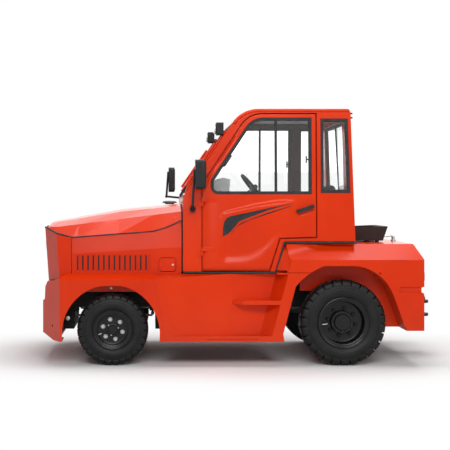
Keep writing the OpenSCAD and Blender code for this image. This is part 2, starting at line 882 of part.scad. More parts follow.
// Leaf springs on both axles; columns of the table: length share, layer
leaf_t = 12;
leaf_w = 60;
eye_r = 17;
spring_half = 330;
rear_spring_half = 400;
front_pad_z = front_axle_z + 44;
rear_pad_z = rear_axle_z + 62;
rear_spring_y = 400;
front_spring_y = frame_half - member_w / 2;
front_eye_z = front_pad_z + 3 * leaf_t + eye_r;
rear_eye_z = rear_pad_z + 3 * leaf_t + eye_r;
leaves = [[0.5, 0], [0.75, 1], [1, 2]];
module spring(x, y, z, half) {
    for (l = leaves)
        block(x - half * l[0], x + half * l[0], y - leaf_w / 2, y + leaf_w / 2, z + l[1] * leaf_t,
            z + (l[1] + 1) * leaf_t);
    for (e = [x - half, x + half]) {
        rod_y(e, z + 3 * leaf_t + eye_r - 2, eye_r - 2, y - leaf_w / 2, y + leaf_w / 2);
        block(e - 9, e + 9, y - leaf_w / 2, y + leaf_w / 2, z + 3 * leaf_t, z + 3 * leaf_t + 2 * eye_r);
    }
}

module leaf_springs() {
    color(dark_steel) both_sides() {
        spring(front_axle_x, front_spring_y, front_pad_z, spring_half);
        spring(rear_axle_x, rear_spring_y, rear_pad_z, rear_spring_half);
    }
}

// Front axle beam with king pins in its eyes
eye_h = 90;
yoke_t = 44;
kingpin_gap = 0.4;
module front_axle() {
    color(black) both_sides() {
        block(front_axle_x - 38, front_axle_x + 38, 0, kingpin_y - 20, front_axle_z - 36,
            front_axle_z + 36);
        block(front_axle_x - 50, front_axle_x + 50, front_spring_y - 36, front_spring_y + 36,
            front_axle_z, front_pad_z);
        translate([front_axle_x, kingpin_y, front_axle_z - eye_h / 2])
            cylinder(r = 30, h = eye_h);
        translate([front_axle_x, kingpin_y, front_axle_z - eye_h / 2 - yoke_t])
            cylinder(d = kingpin_d, h = eye_h + 2 * yoke_t);
    }
}

// Steering knuckle: yoke round the king pin, spindle and steering arm
spindle_r = 25;
hub_y = front_track / 2;
arm_x = front_axle_x - 110;
arm_half = 13;
arm_eye_r = 15;
arm_z = front_axle_z - 70;
stud_r = 9;
module knuckle() {
    color(dark_steel) difference() {
        union() {
            for (s = [-1, 1])
                translate([front_axle_x, kingpin_y, front_axle_z + s * (eye_h / 2 + 0.5 + yoke_t / 2)]) {
                    cylinder(r = 34, h = yoke_t - 1, center = true);
                    translate([-34, 0, -(yoke_t - 1) / 2]) cube([68, 62, yoke_t - 1]);
                }
            block(front_axle_x - 34, front_axle_x + 34, kingpin_y + 37, kingpin_y + 62,
                front_axle_z - eye_h / 2 - yoke_t, front_axle_z + eye_h / 2 + yoke_t);
            rod_y(front_axle_x, front_axle_z, spindle_r, kingpin_y + 50, hub_y + 34);
            rod_y(front_axle_x, front_axle_z, 60, kingpin_y + 40, kingpin_y + 60);
            arm();
        }
        translate([front_axle_x, kingpin_y, 0])
            cylinder(d = kingpin_d + 2 * kingpin_gap, h = 2 * front_axle_z);
    }
}

// Steering arm under the beam with the stud for the tie rod
module arm() {
    block(arm_x, front_axle_x, kingpin_y - arm_half, kingpin_y + arm_half,
        arm_z - 10, arm_z + 10);
    translate([arm_x, kingpin_y, arm_z - 10]) cylinder(r = arm_eye_r, h = 20);
    translate([arm_x, kingpin_y, arm_z - 44]) cylinder(r = stud_r, h = 40);
}

module left_knuckle() knuckle();
module right_knuckle() mirror([0, 1, 0]) knuckle();

// Tie rod between the steering arms, with more room at its right eye
module tie_rod() {
    color(steel) difference() {
        union() {
            rod_y(arm_x, arm_z - 27, 11, -kingpin_y, kingpin_y);
            for (s = [-1, 1])
                translate([arm_x, s * kingpin_y, arm_z - 40])
                    cylinder(r = arm_eye_r, h = 26);
        }
        translate([arm_x, kingpin_y, 0]) cylinder(r = stud_r + 0.4, h = arm_z);
        translate([arm_x, -kingpin_y, 0]) cylinder(r = stud_r + 2, h = arm_z);
    }
}

// Fuel tank behind the flap, with its filler
tank_x0 = flap_front - 136;
tank_x1 = flap_front + 14;
tank_y0 = frame_half + 60;
tank_y1 = sill_in - 20;
tank_z0 = frame_hi - 20;
module fuel_tank() {
    color(black) {
        block(tank_x0, tank_x1, tank_y0, tank_y1, tank_z0, flap_lo + flap_h - 30);
        rod_y(flap_front - flap_len / 2, flap_lo + flap_h / 2 - 6, 26, tank_y1, hood_half - 34);
        rod_y(flap_front - flap_len / 2, flap_lo + flap_h / 2 - 6, 34, hood_half - 34, hood_half - 20);
    }
}

// Tyre round the Z axis, outer side up; shoulders cut by radial grooves between the lugs
module tyre(d, w, rim, lugs) {
    r = d / 2;
    s = rim / 2;
    b = bead_half(w);
    wall = r - s;
    half = [
        [s, b],
        [s + 18, b],
        [s + wall * 0.34, w / 2],
        [s + wall * 0.62, w / 2],
        [r - lug_depth - 6, w * 0.475],
        [r - 4, w * 0.43],
        [r, w * 0.25]
    ];
    color(rubber) difference() {
        rotate_extrude()
            polygon(concat(half, [for (i = [len(half) - 1 : -1 : 0]) [half[i][0], -half[i][1]]]));
        for (i = [0 : lugs - 1], side = [-1, 1])
            rotate([0, 0, (i + (side + 1) / 4) * 360 / lugs])
                translate([r - lug_depth, -lug_gap / 2, side > 0 ? w * 0.16 : -w])
                    cube([2 * lug_depth, lug_gap, w * 0.84]);
    }
}
function bead_half(w) = w * 0.4;
lug_gap = 13;

// Rim round the Z axis, outer side up: barrel with flanges, disc, hub with a bore for the spindle
module rim(w, seat, disc_z, disc_t, hub_r, hub_top, cap_r, cap_top, bore_r, bore_lo, bore_hi) {
    s = seat / 2 - seat_gap;
    b = bead_half(w) + seat_gap;
    t = 8;
    color(black) difference() {
        rotate_extrude()
            polygon([
                [s - t, -b],
                [s - t + 4, -b - 7],
                [s + 14, -b - 7],
                [s + 14, -b],
                [s, -b],
                [s, b],
                [s + 14, b],
                [s + 14, b + 7],
                [s - t + 4, b + 7],
                [s - t, b],
                [s - t, disc_z + disc_t],
                [hub_r, disc_z + disc_t],
                [hub_r, hub_top],
                [cap_r, hub_top + 4],
                [cap_r - 5, cap_top],
                [0, cap_top],
                [0, bore_lo],
                [hub_r, bore_lo],
                [hub_r, disc_z],
                [s - t, disc_z]
            ]);
        translate([0, 0, bore_lo - cut]) cylinder(r = bore_r, h = bore_hi - bore_lo + cut);
    }
}

module front_wheel_place(side) {
    mirror([0, side < 0 ? 1 : 0, 0])
        translate([front_axle_x, hub_y, front_axle_z]) rotate([-90, 0, 0]) children();
}

module rear_wheel_place(side) {
    mirror([0, side < 0 ? 1 : 0, 0])
        translate([rear_axle_x, rear_hub_y, rear_axle_z]) rotate([-90, 0, 0]) children();
}

module front_tyre(side) {
    front_wheel_place(side) tyre(front_tyre_d, front_tyre_w, front_rim_d, front_lugs);
}

module front_rim(side) {
    front_wheel_place(side)
        rim(front_tyre_w, front_rim_d, 22, 12, 58, 50, 39, 66, spindle_r + 0.5, -30, 36);
}

module rear_tyre(side) {
    rear_wheel_place(side) tyre(rear_tyre_d, rear_tyre_w, rear_rim_d, rear_lugs);
}

module rear_rim(side) {
    rear_wheel_place(side)
        rim(rear_tyre_w, rear_rim_d, -20, 14, 94, 40, 69, 62, stub_r + 0.5, -56, 26);
}

module front_left_tyre() front_tyre(1);
module front_right_tyre() front_tyre(-1);
module front_left_rim() front_rim(1);
module front_right_rim() front_rim(-1);
module rear_left_tyre() rear_tyre(1);
module rear_right_tyre() rear_tyre(-1);
module rear_left_rim() rear_rim(1);
module rear_right_rim() rear_rim(-1);

// Cab outlines, drawn in X and Z
cab_top_z = roof_h - roof_t;
pillar_w = 77;
door_front = cab_front_x - 162;
door_rear = cab_front_x - 1102;
door_lo = cab_floor_z + 8;
door_hi = roof_h - 46;
door_r = 200;
stop_w = 25;
wall_t = 40;
arc_n = 10;

// X on the windscreen line at a height, moved inward by an offset
function screen_x(z, off) = cab_front_x - off / cos(screen_lean) - tan(screen_lean) * (z - screen_z);
// Height at which that line crosses an X
function screen_cross(x, off) = screen_z + (cab_front_x - off / cos(screen_lean) - x) / tan(screen_lean);
// Arc from the windscreen line up to a level top line
function screen_corner(z, off, r) = [
    for (i = [0 : arc_n])
        let (t = screen_lean + (90 - screen_lean) * i / arc_n)
            [screen_x(z, off) - r * tan((90 - screen_lean) / 2) + r * cos(t), z - r + r * sin(t)]
];
// Point along the windscreen line, d inside it
function on_screen(s, d) = [
    cab_front_x - s * sin(screen_lean) - d * cos(screen_lean),
    screen_z + s * cos(screen_lean) - d * sin(screen_lean)
];
roof_c = [screen_x(roof_h, 0) - roof_r * tan((90 - screen_lean) / 2), roof_h - roof_r];
function roof_arc(r) = [
    for (i = [0 : arc_n])
        let (t = screen_lean + (90 - screen_lean) * i / arc_n)
            roof_c + r * [cos(t), sin(t)]
];
screen_len = (roof_c[1] + roof_r * sin(screen_lean) - screen_z) / cos(screen_lean);
function rear_x(z) = cab_rear_x + rear_lean_run * (z - rear_floor_z) / (cab_top_z - rear_floor_z);

function cab_pts() = concat(
    [[cab_front_x, cab_floor_z], [cab_front_x, screen_z], on_screen(screen_len, 0)],
    roof_arc(roof_r - roof_t),
    [
        [rear_x(cab_top_z), cab_top_z],
        [cab_rear_x, rear_floor_z],
        [step_x - step_run, rear_floor_z],
        [step_x, cab_floor_z]
    ]
);

// Door outline, moved inward by i on every edge
function door_pts(i) = concat(
    [[door_front - i, door_lo + i], [door_front - i, screen_cross(door_front - i, pillar_w + i)]],
    screen_corner(door_hi - i, pillar_w + i, door_r - i),
    [
        [door_rear + i, door_hi - i],
        [door_rear + i, rear_floor_z + 37 + i],
        [step_x - 40 + i * 0.7, rear_floor_z + 29 + i],
        [step_x + 49 + i, door_lo + i]
    ]
);

// Door window and quarter window outlines, moved inward by i
window_front = door_front - 69;
window_rear = door_rear + 34;
window_lo = screen_z + 22;
window_hi = door_hi - 30;
window_off = pillar_w + 38;
window_r = 60;
function window_pts(i) = concat(
    [
        for (t = [-90 : 90 / arc_n : 0])
            [window_front - window_r, window_lo + window_r] + (window_r - i) * [cos(t), sin(t)]
    ],
    [[window_front - i, screen_cross(window_front - i, window_off + i)]],
    screen_corner(window_hi - i, window_off + i, door_r - 30 - i),
    [[window_rear + i, window_hi - i], [window_rear + i, window_lo + i]]
);
quarter_front = door_rear - 40;
quarter_back = 26;
function quarter_pts(i) = [
    [quarter_front - i, window_lo + 10 + i],
    [quarter_front - i, window_hi - 6 - i],
    [rear_x(window_hi) + quarter_back + i, window_hi - 6 - i],
    [rear_x(window_lo) + quarter_back + i, window_lo + 10 + i]
];

// Cab side plane: leans in by the cab's taper; y = 0 is its outer face
module side_place() {
    translate([0, cab_w / 2, cab_floor_z]) rotate([cab_lean, 0, 0]) children();
}
function on_side(pts) = [for (p = pts) [p[0], (p[1] - cab_floor_z) / cos(cab_lean)]];
function cab_half(z) = cab_w / 2 - (z - cab_floor_z) * tan(cab_lean);

// Space between the cab sides, in by an inset, along X
wall_gap = 0.3;
module between_sides(inset) {
    front_extrude(cab_rear_x - 100, cab_front_x + 100)
        polygon([
            [-cab_half(cab_floor_z) + inset / cos(cab_lean), cab_floor_z],
            [-cab_half(roof_h) + inset / cos(cab_lean), roof_h],
            [cab_half(roof_h) - inset / cos(cab_lean), roof_h],
            [cab_half(cab_floor_z) - inset / cos(cab_lean), cab_floor_z]
        ]);
}

// Door hinges: an upright axis just outside the side face
door_axis_x = door_front + door_gap / 2;
door_axis_y = cab_w / 2 + 8;
door_hinge_zs = [cab_floor_z + 130, cab_floor_z + 540];
barrel_r = 10;
barrel_h = 34;
door_pin_r = 6;
module hinge_leaf(z, x0, x1) {
    translate([door_axis_x, door_axis_y, z]) cylinder(r = barrel_r, h = barrel_h);
    block(min(x0, x1), max(x0, x1), cab_half(z) - 6, door_axis_y + 5, z, z + barrel_h);
}

module cab_side() {
    difference() {
        union() {
            side_place() side_extrude(-side_t, 0) polygon(on_side(cab_pts()));
            for (z = door_hinge_zs) {
                hinge_leaf(z, door_axis_x, door_axis_x + 34);
                translate([door_axis_x, door_axis_y, z]) cylinder(r = door_pin_r, h = 2 * barrel_h);
            }
        }
        side_place() {
            side_extrude(stop_t - side_t, cut) polygon(on_side(door_pts(-door_gap)));
            side_extrude(-side_t - cut, cut) polygon(on_side(door_pts(stop_w)));
            side_extrude(-side_t - cut, cut) polygon(on_side(quarter_pts(0)));
        }
    }
}

module cab_sides() {
    color(paint) both_sides() cab_side();
}

module cab_roof() {
    color(paint) intersection() {
        side_extrude(-cab_w / 2, cab_w / 2)
            polygon(concat(
                roof_arc(roof_r),
                [[rear_x(cab_top_z) + 12, roof_h], [rear_x(cab_top_z), cab_top_z]],
                back(roof_arc(roof_r - roof_t))
            ));
        between_sides(0);
    }
}

// Walls between the side frames
rear_window_half = 430;
rear_window_lo = window_lo + 20;
rear_window_hi = window_hi - 20;
function rear_band(z0, z1, d0, d1) = [
    [rear_x(z0) + d0, z0], [rear_x(z1) + d0, z1], [rear_x(z1) + d1, z1], [rear_x(z0) + d1, z0]
];
module cab_rear_wall() {
    color(paint) difference() {
        intersection() {
            side_extrude(-cab_w / 2, cab_w / 2)
                polygon(rear_band(rear_floor_z, cab_top_z, 0, wall_t));
            between_sides(side_t + wall_gap);
        }
        side_extrude(-rear_window_half, rear_window_half)
            polygon(rear_band(rear_window_lo, rear_window_hi, -cut, wall_t + cut));
    }
}

module cab_front_wall() {
    color(paint) intersection() {
        side_extrude(-cab_w / 2, cab_w / 2)
            polygon([
                [cab_front_x, cab_floor_z],
                [cab_front_x, screen_z],
                on_screen(0, wall_t),
                [cab_front_x - wall_t, screen_z - wall_t],
                [cab_front_x - wall_t, cab_floor_z]
            ]);
        between_sides(side_t + wall_gap);
    }
}

module cab_floor() {
    color(black) intersection() {
        side_extrude(-cab_w / 2, cab_w / 2)
            polygon([
                [cab_front_x - wall_t, cab_floor_z],
                [step_x, cab_floor_z],
                [step_x - step_run, rear_floor_z],
                [cab_rear_x + wall_t, rear_floor_z],
                [rear_x(rear_floor_z + floor_t) + wall_t, rear_floor_z + floor_t],
                [step_x - step_run + 15, rear_floor_z + floor_t],
                [step_x + 15, cab_floor_z + floor_t],
                [cab_front_x - wall_t, cab_floor_z + floor_t]
            ]);
        between_sides(side_t + wall_gap);
    }
}

module cab_mounts() {
    color(rubber) both_sides() {
        for (x = mount_xs)
            translate([x, mount_y, mount_lo]) cylinder(r = 38, h = cab_floor_z - mount_lo);
        translate([cab_rear_x + 110, mount_y, deck_z])
            cylinder(r = 38, h = rear_floor_z - deck_z);
    }
}

// Glass and seals
screen_seal_t = 20;
module screen_band(s0, s1, d0, d1) {
    side_extrude(-cab_w / 2, cab_w / 2)
        polygon([on_screen(s0, d0), on_screen(s1, d0), on_screen(s1, d1), on_screen(s0, d1)]);
}

module windscreen() {
    color(tint) intersection() {
        screen_band(seal_w, screen_len - seal_w, 8, 8 + glass_t);
        between_sides(side_t + seal_w);
    }
}

module cab_glass() {
    color(tint) {
        both_sides()
            side_place() side_extrude(-20 - glass_t, -20) polygon(on_side(quarter_pts(seal_w)));
        side_extrude(-rear_window_half + seal_w, rear_window_half - seal_w)
            polygon(rear_band(rear_window_lo + seal_w, rear_window_hi - seal_w, 14, 14 + glass_t));
    }
}

module window_seals() {
    color(rubber) {
        intersection() {
            difference() {
                screen_band(0, screen_len, 0, screen_seal_t);
                intersection() {
                    screen_band(seal_w, screen_len - seal_w, -cut, screen_seal_t + cut);
                    between_sides(side_t + seal_w);
                }
            }
            between_sides(side_t + wall_gap);
        }
        both_sides()
            side_place()
                difference() {
                    side_extrude(-34, 0) polygon(on_side(quarter_pts(0)));
                    side_extrude(-35, cut) polygon(on_side(quarter_pts(seal_w)));
                }
        difference() {
            side_extrude(-rear_window_half, rear_window_half)
                polygon(rear_band(rear_window_lo, rear_window_hi, 0, 30));
            side_extrude(-rear_window_half + seal_w, rear_window_half - seal_w)
                polygon(rear_band(rear_window_lo + seal_w, rear_window_hi - seal_w, -cut, 31));
        }
    }
}

// Pressed relief on the door: a tilted face, proud along its upper edge and sunk along its lower one;
// columns of the table: distance behind the cab front, height over the screen's foot
relief_line = [
    [304, -172], [331, -123], [409, -98], [541, -68], [652, -46], [790, -26], [905, -18], [918, -50],
    [896, -210], [851, -261], [751, -322], [702, -383], [652, -416], [569, -452], [486, -471], [359, -480],
    [312, -460], [302, -330]
];
relief_t = 14;
relief_mid = screen_z - 270;
relief_half = 210;
relief_ends = [cab_front_x - 300, cab_front_x - 430, cab_front_x - 800, cab_front_x - 922];
function side_z(z) = (z - cab_floor_z) / cos(cab_lean);

// Space between the side plane and the tilted face, proud or sunk by its sign, faded out at both ends
module relief(sign) {
    z0 = side_z(relief_mid);
    z1 = side_z(relief_mid + sign * 2 * relief_half);
    intersection() {
        side_extrude(-2 * relief_t, 2 * relief_t)
            polygon(on_side([for (p = relief_line) [cab_front_x - p[0], screen_z + p[1]]]));
        front_extrude(door_rear, door_front)
            polygon([[0, z0], [sign * 2 * relief_t, z1], [-sign * cut, z1], [-sign * cut, z0]]);
        plan_extrude(0, roof_h)
            polygon([
                [relief_ends[0], -sign * cut],
                [relief_ends[1], sign * relief_t],
                [relief_ends[2], sign * relief_t],
                [relief_ends[3], -sign * cut]
            ]);
    }
}

// Doors
cup_r = 20;
cup_t = 9;
module handle_cup() {
    translate([handle_x + handle_len / 2 - 5, 0, side_z(handle_z) + 8])
        rotate([0, 18, 0]) {
            for (x = [-44, 44]) rod_y(x, 0, cup_r, -cup_t, cut);
            block(-44, 44, -cup_t, cut, -cup_r, cup_r);
        }
}

module door_panel() {
    color(paint) difference() {
        union() {
            side_place() relief(1);
            side_place()
                side_extrude(-door_t, 0)
                    difference() {
                        polygon(on_side(door_pts(0)));
                        polygon(on_side(window_pts(0)));
                    }
            for (z = door_hinge_zs)
                hinge_leaf(z + barrel_h + 0.5, door_axis_x - 40, door_axis_x);
        }
        side_place() {
            relief(-1);
            handle_cup();
        }
        translate([door_axis_x, door_axis_y, 0]) cylinder(r = door_pin_r + 0.5, h = roof_h);
    }
}

bar_x = cab_front_x - 772;
handle_x = door_rear + 15;
handle_len = 150;
handle_z = screen_z - 129;
module door_trim() {
    color(rubber) side_place() {
        difference() {
            side_extrude(-30, 0) polygon(on_side(window_pts(0)));
            difference() {
                side_extrude(-31, cut) polygon(on_side(window_pts(seal_w)));
                side_extrude(-30, 0) translate([bar_x - 10, 0]) square([20, roof_h]);
            }
        }
        // pull handle on two posts
        translate([handle_x + handle_len / 2, 0, handle_z - cab_floor_z + 30])
            rotate([0, 18, 0]) {
                block(-handle_len / 2, handle_len / 2, 22, 36, -15, 15);
                for (x = [-handle_len / 2 + 14, handle_len / 2 - 14])
                    block(x - 12, x + 12, 0, 22, -13, 13);
            }
    }
}

module door_glass() {
    color(tint) side_place()
        difference() {
            side_extrude(-12 - glass_t, -12) polygon(on_side(window_pts(seal_w)));
            side_extrude(-31, cut) translate([bar_x - 10, 0]) square([20, roof_h]);
        }
}

module left_door() door_panel();
module left_door_trim() door_trim();
module left_door_glass() door_glass();
module right_door() mirror([0, 1, 0]) door_panel();
module right_door_trim() mirror([0, 1, 0]) door_trim();
module right_door_glass() mirror([0, 1, 0]) door_glass();

// Inside the cab
seat_z = rear_floor_z + floor_t;
seat_x = cab_rear_x + 115;
seat_half = 250;
module seat_base() {
    color(black) {
        block(seat_x + 60, seat_x + 380, -180, 180, seat_z, seat_z + 60);
        block(seat_x + 20, seat_x + 420, -220, 220, seat_z + 60, seat_z + 80);
        side_extrude(-200, 200)
            polygon([
                [seat_x + 20, seat_z + 80],
                [seat_x - 40, seat_z + 400],
                [seat_x - 55, seat_z + 400],
                [seat_x, seat_z + 80]
            ]);
    }
}

module seat_cushions() {
    color([0.16, 0.16, 0.17]) {
        block(seat_x + 90, seat_x + 430, -seat_half + 10, seat_half - 10, seat_z + 80, seat_z + 185);
        side_extrude(-seat_half + 20, seat_half - 20)
            polygon([
                [seat_x + 20, seat_z + 80],
                [seat_x + 86, seat_z + 80],
                [seat_x + 60, seat_z + 460],
                [seat_x + 20, seat_z + 475],
                [seat_x - 30, seat_z + 470],
                [seat_x - 40, seat_z + 400]
            ]);
    }
}

wheel_c = [cab_front_x - 655, 0, cab_floor_z + 679];
wheel_tilt = 51;
column_len = 350;
dash_half = 520;
module wheel_place() {
    translate(wheel_c) rotate([0, -wheel_tilt, 0]) children();
}

module dashboard() {
    color(grey) difference() {
        side_extrude(-dash_half, dash_half)
            polygon([
                [cab_front_x - wall_t, cab_floor_z + 200],
                [cab_front_x - wall_t, screen_z - wall_t],
                on_screen(-10, 60),
                [cab_front_x - 290, screen_z + 150],
                [cab_front_x - 345, screen_z + 162],
                [cab_front_x - 405, screen_z + 150],
                [cab_front_x - 370, cab_floor_z + 440],
                [cab_front_x - 200, cab_floor_z + 200]
            ]);
        wheel_place()
            translate([0, 0, -column_len - seat_gap])
                cylinder(r = 30 + seat_gap, h = column_len);
    }
}

module steering_column() {
    color(black) wheel_place() {
        translate([0, 0, -column_len]) cylinder(r = 30, h = column_len - 30);
        translate([0, 0, -40]) cylinder(r = 10, h = 52);
    }
}

module steering_wheel() {
    rim_r = 13;
    color(black) wheel_place() {
        rotate_extrude() translate([wheel_d / 2 - rim_r, 0]) circle(r = rim_r);
        difference() {
            union() {
                translate([0, 0, -20]) cylinder(r = 38, h = 38);
                for (a = [0, 120, 240])
                    rotate([0, 0, a])
                        translate([20, -14, -6]) cube([wheel_d / 2 - rim_r - 20, 28, 12]);
            }
            translate([0, 0, -21]) cylinder(r = 10.5, h = 34);
        }
    }
}

pedal_ys = [-150, -30, 120];
pedal_x = cab_front_x - wall_t;
module pedals() {
    color(black) for (y = pedal_ys) {
        block(pedal_x - 60, pedal_x, y - 8, y + 8, cab_floor_z + 130, cab_floor_z + 150);
        side_extrude(y - 35, y + 35)
            polygon([
                [pedal_x - 60, cab_floor_z + 160],
                [pedal_x - 110, cab_floor_z + 80],
                [pedal_x - 100, cab_floor_z + 74],
                [pedal_x - 50, cab_floor_z + 154]
            ]);
    }
}

// Mirrors on tubes, the left one on the door post and the right one on the front wall
mirror_y = 850;
mirror_r = 10;
mirror_knuckle_r = 14;
mirror_foot_r = 26;
module mirror_head(x, y, z) {
    translate([x, y, z])
        rotate([90, 0, 90]) linear_extrude(56, center = true) round_rect(80, 240, 24);
}

module mirror_stay(base, knee, top) {
    translate([base[0], cab_half(base[2] - mirror_foot_r) + wall_gap, base[2]])
        rotate([-90, 0, 0]) cylinder(r = mirror_foot_r, h = 36);
    bar([base[0], cab_half(base[2]) + 24, base[2]], knee, mirror_r);
    translate(knee) sphere(r = mirror_knuckle_r);
    bar(knee, top, mirror_r);
}

module mirrors() {
    color(black) {
        mirror_stay([cab_front_x - 80, 0, 1290], [cab_front_x - 72, mirror_y, 1320],
            [cab_front_x - 89, mirror_y, 1612]);
        mirror_head(cab_front_x - 121, mirror_y, 1572);
        mirror([0, 1, 0])
            mirror_stay([cab_front_x - 42, 0, screen_z - 8], [cab_front_x + 115, mirror_y, screen_z + 8],
                [cab_front_x + 98, mirror_y, 1640]);
        mirror_head(cab_front_x + 66, -mirror_y, 1561);
    }
}

// Grab rails along the windscreen posts; columns: distance along the post, stand-off
rail_r = 11;
rail_ends = [[119, 31], [494, 26]];
function post_point(s, d) = let (p = on_screen(s, d)) [p[0], cab_half(p[1]) - side_t / 2, p[1]];
module grab_rails() {
    color(paint) both_sides() {
        bar(post_point(rail_ends[0][0] - 25, -rail_ends[0][1]),
            post_point(rail_ends[1][0] + 25, -rail_ends[1][1]), rail_r);
        for (e = rail_ends) bar(post_point(e[0], 0), post_point(e[0], -e[1]), 8);
    }
}

// Work lamps on the windscreen posts
lamp_s = screen_len - 100;
module work_lamps() {
    color(black) both_sides() {
        p = post_point(lamp_s, -58);
        bar(post_point(lamp_s, 0), p, 9);
        translate(p)
            rotate([90, 0, 90]) linear_extrude(60, center = true) round_rect(100, 105, 14);
        // lamp pegs behind the roof
        for (z = [cab_top_z - 40, cab_top_z - 4])
            rod_x(cab_half(cab_top_z) - 100, z, 7, rear_x(z - 7) - 34, rear_x(z - 7) - wall_gap);
    }
}

tail_y = half_w - 130;
module tail_lamps() {
    color([0.7, 0.08, 0.05])
        both_sides() block(body_rear_x - 20, body_rear_x, tail_y - 70, tail_y + 70, 700, 770);
}

// Open bin on the rear deck
bin_half = 250;
bin_front = cab_rear_x - 20;
bin_back = body_rear_x + 216;
bin_lo = deck_z + 12;
bin_t = 8;
module bin_outline(t) {
    polygon([
        [bin_front - t, bin_lo + t],
        [bin_front - t, t > 0 ? 2 * bin_lo : bin_lo + 110],
        [bin_back - 43 + t, t > 0 ? 2 * bin_lo : bin_lo + 125],
        [bin_back + t, bin_lo + t]
    ]);
}

module rear_bin() {
    color([0.16, 0.11, 0.1]) {
        difference() {
            side_extrude(-bin_half, bin_half) bin_outline(0);
            side_extrude(-bin_half + bin_t, bin_half - bin_t) bin_outline(bin_t);
        }
        for (x = [bin_back + 30, bin_front - 60], y = [-bin_half + 40, bin_half - 40])
            block(x, x + 30, y - 15, y + 15, deck_z, bin_lo);
    }
}

// Tow hitch: two plates with round ends and a bored collar
hitch_lo = 333;
hitch_half = 90;
hitch_hi = hitch_lo + hitch_t + jaw_h;
hitch_pin_x = hitch_x + 62;
module tow_hitch() {
    color(black) difference() {
        union() {
            for (z = [hitch_lo, hitch_hi])
                plan_extrude(z, z + hitch_t) {
                    translate([hitch_pin_x, 0]) circle(r = hitch_pin_x - hitch_x);
                    polygon([
                        [hitch_pin_x, 62],
                        [body_rear_x - 16, hitch_half],
                        [body_rear_x - 16, -hitch_half],
                        [hitch_pin_x, -62]
                    ]);
                }
            translate([hitch_pin_x, 0, hitch_hi]) cylinder(r = 36, h = hitch_t + 28);
            block(body_rear_x - 18, body_rear_x, -hitch_half - 30, hitch_half + 30, hitch_lo - 20,
                hitch_hi + hitch_t + 60);
            for (y = [-hitch_half + 20, hitch_half - 40])
                side_extrude(y, y + 20)
                    polygon([
                        [body_rear_x - 17, hitch_hi + hitch_t],
                        [body_rear_x - 17, hitch_hi + hitch_t + 55],
                        [body_rear_x - 110, hitch_hi + hitch_t]
                    ]);
        }
        translate([hitch_pin_x, 0, 0]) cylinder(d = hitch_bore, h = deck_z);
    }
}

// Tow pin parked in the deck, with a bent handle
module tow_pin() {
    color(steel) {
        translate([pin_x, 0, deck_z - 150]) cylinder(d = tow_pin_d, h = 190);
        translate([pin_x, 0, deck_z]) cylinder(r = tow_pin_d / 2 + 8, h = 10);
        bar([pin_x, 0, deck_z + 40], [pin_x + 20, 0, deck_z + 46], 9);
        bar([pin_x + 18, 0, deck_z + 46], [pin_x + 78, 0, deck_z + 38], 6);
    }
}

// Wiper at the foot of the windscreen
module wiper() {
    color(black) {
        a = on_screen(12, -14);
        b = on_screen(430, -9);
        m = on_screen(300, -12);
        bar([on_screen(12, 0)[0], -120, on_screen(12, 0)[1]], [a[0], -120, a[1]], 12);
        bar([a[0], -120, a[1]], [m[0], 60, m[1]], 6);
        bar([m[0], 60, m[1]], [b[0], 130, b[1]], 5);
        c = on_screen(200, -6);
        d = on_screen(630, -6);
        bar([c[0], 70, c[1]], [d[0], 150, d[1]], 6);
    }
}

chassis_frame();
front_bumper();
side_sills();
rear_body();
nose_cowl();
grille();
headlamps();
engine_panels();
engine();
radiator();
gearbox();
propeller_shaft();
rear_axle();
leaf_springs();
front_axle();
fuel_tank();
cab_sides();
cab_roof();
cab_rear_wall();
cab_front_wall();
cab_floor();
cab_mounts();
windscreen();
cab_glass();
window_seals();
seat_base();
seat_cushions();
dashboard();
steering_column();
pedals();
mirrors();
grab_rails();
work_lamps();
tail_lamps();
rear_bin();
tow_hitch();
tow_pin();
wiper();
hood();
air_precleaner();
left_door();
left_door_trim();
left_door_glass();
right_door();
right_door_trim();
right_door_glass();
fuel_flap();
left_knuckle();
right_knuckle();
tie_rod();
steering_wheel();
front_left_tyre();
front_left_rim();
front_right_tyre();
front_right_rim();
rear_left_tyre();
rear_left_rim();
rear_right_tyre();
rear_right_rim();
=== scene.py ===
import json
import math

import bmesh
import bpy
from mathutils import Matrix, Vector


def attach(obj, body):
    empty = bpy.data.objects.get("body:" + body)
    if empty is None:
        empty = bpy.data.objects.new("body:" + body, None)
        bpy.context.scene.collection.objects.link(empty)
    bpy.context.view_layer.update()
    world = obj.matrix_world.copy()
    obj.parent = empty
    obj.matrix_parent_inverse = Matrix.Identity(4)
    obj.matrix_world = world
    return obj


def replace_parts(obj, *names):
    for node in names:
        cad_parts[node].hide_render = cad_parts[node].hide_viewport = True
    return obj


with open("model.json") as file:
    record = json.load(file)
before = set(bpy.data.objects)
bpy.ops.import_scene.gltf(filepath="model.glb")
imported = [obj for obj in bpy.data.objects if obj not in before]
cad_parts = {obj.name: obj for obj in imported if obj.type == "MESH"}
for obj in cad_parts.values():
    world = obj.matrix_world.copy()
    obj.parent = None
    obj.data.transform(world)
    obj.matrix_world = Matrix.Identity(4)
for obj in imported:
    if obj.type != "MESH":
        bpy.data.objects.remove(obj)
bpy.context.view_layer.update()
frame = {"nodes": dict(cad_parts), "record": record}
cadNodes = frame["nodes"]
nodeBody = {n: b for b, group in frame["record"]["behaviour"]["bodies"].items() for n in group}
print("frame loaded:", len(cadNodes), "nodes")


# Materials

def startMaterial(name):
    mat = bpy.data.materials.new(name)
    mat.use_nodes = True
    tree = mat.node_tree
    return mat, tree, tree.nodes["Principled BSDF"]


def addNode(tree, kind, **inputs):
    node = tree.nodes.new(kind)
    for key, value in inputs.items():
        node.inputs[key.replace("_", " ")].default_value = value
    return node


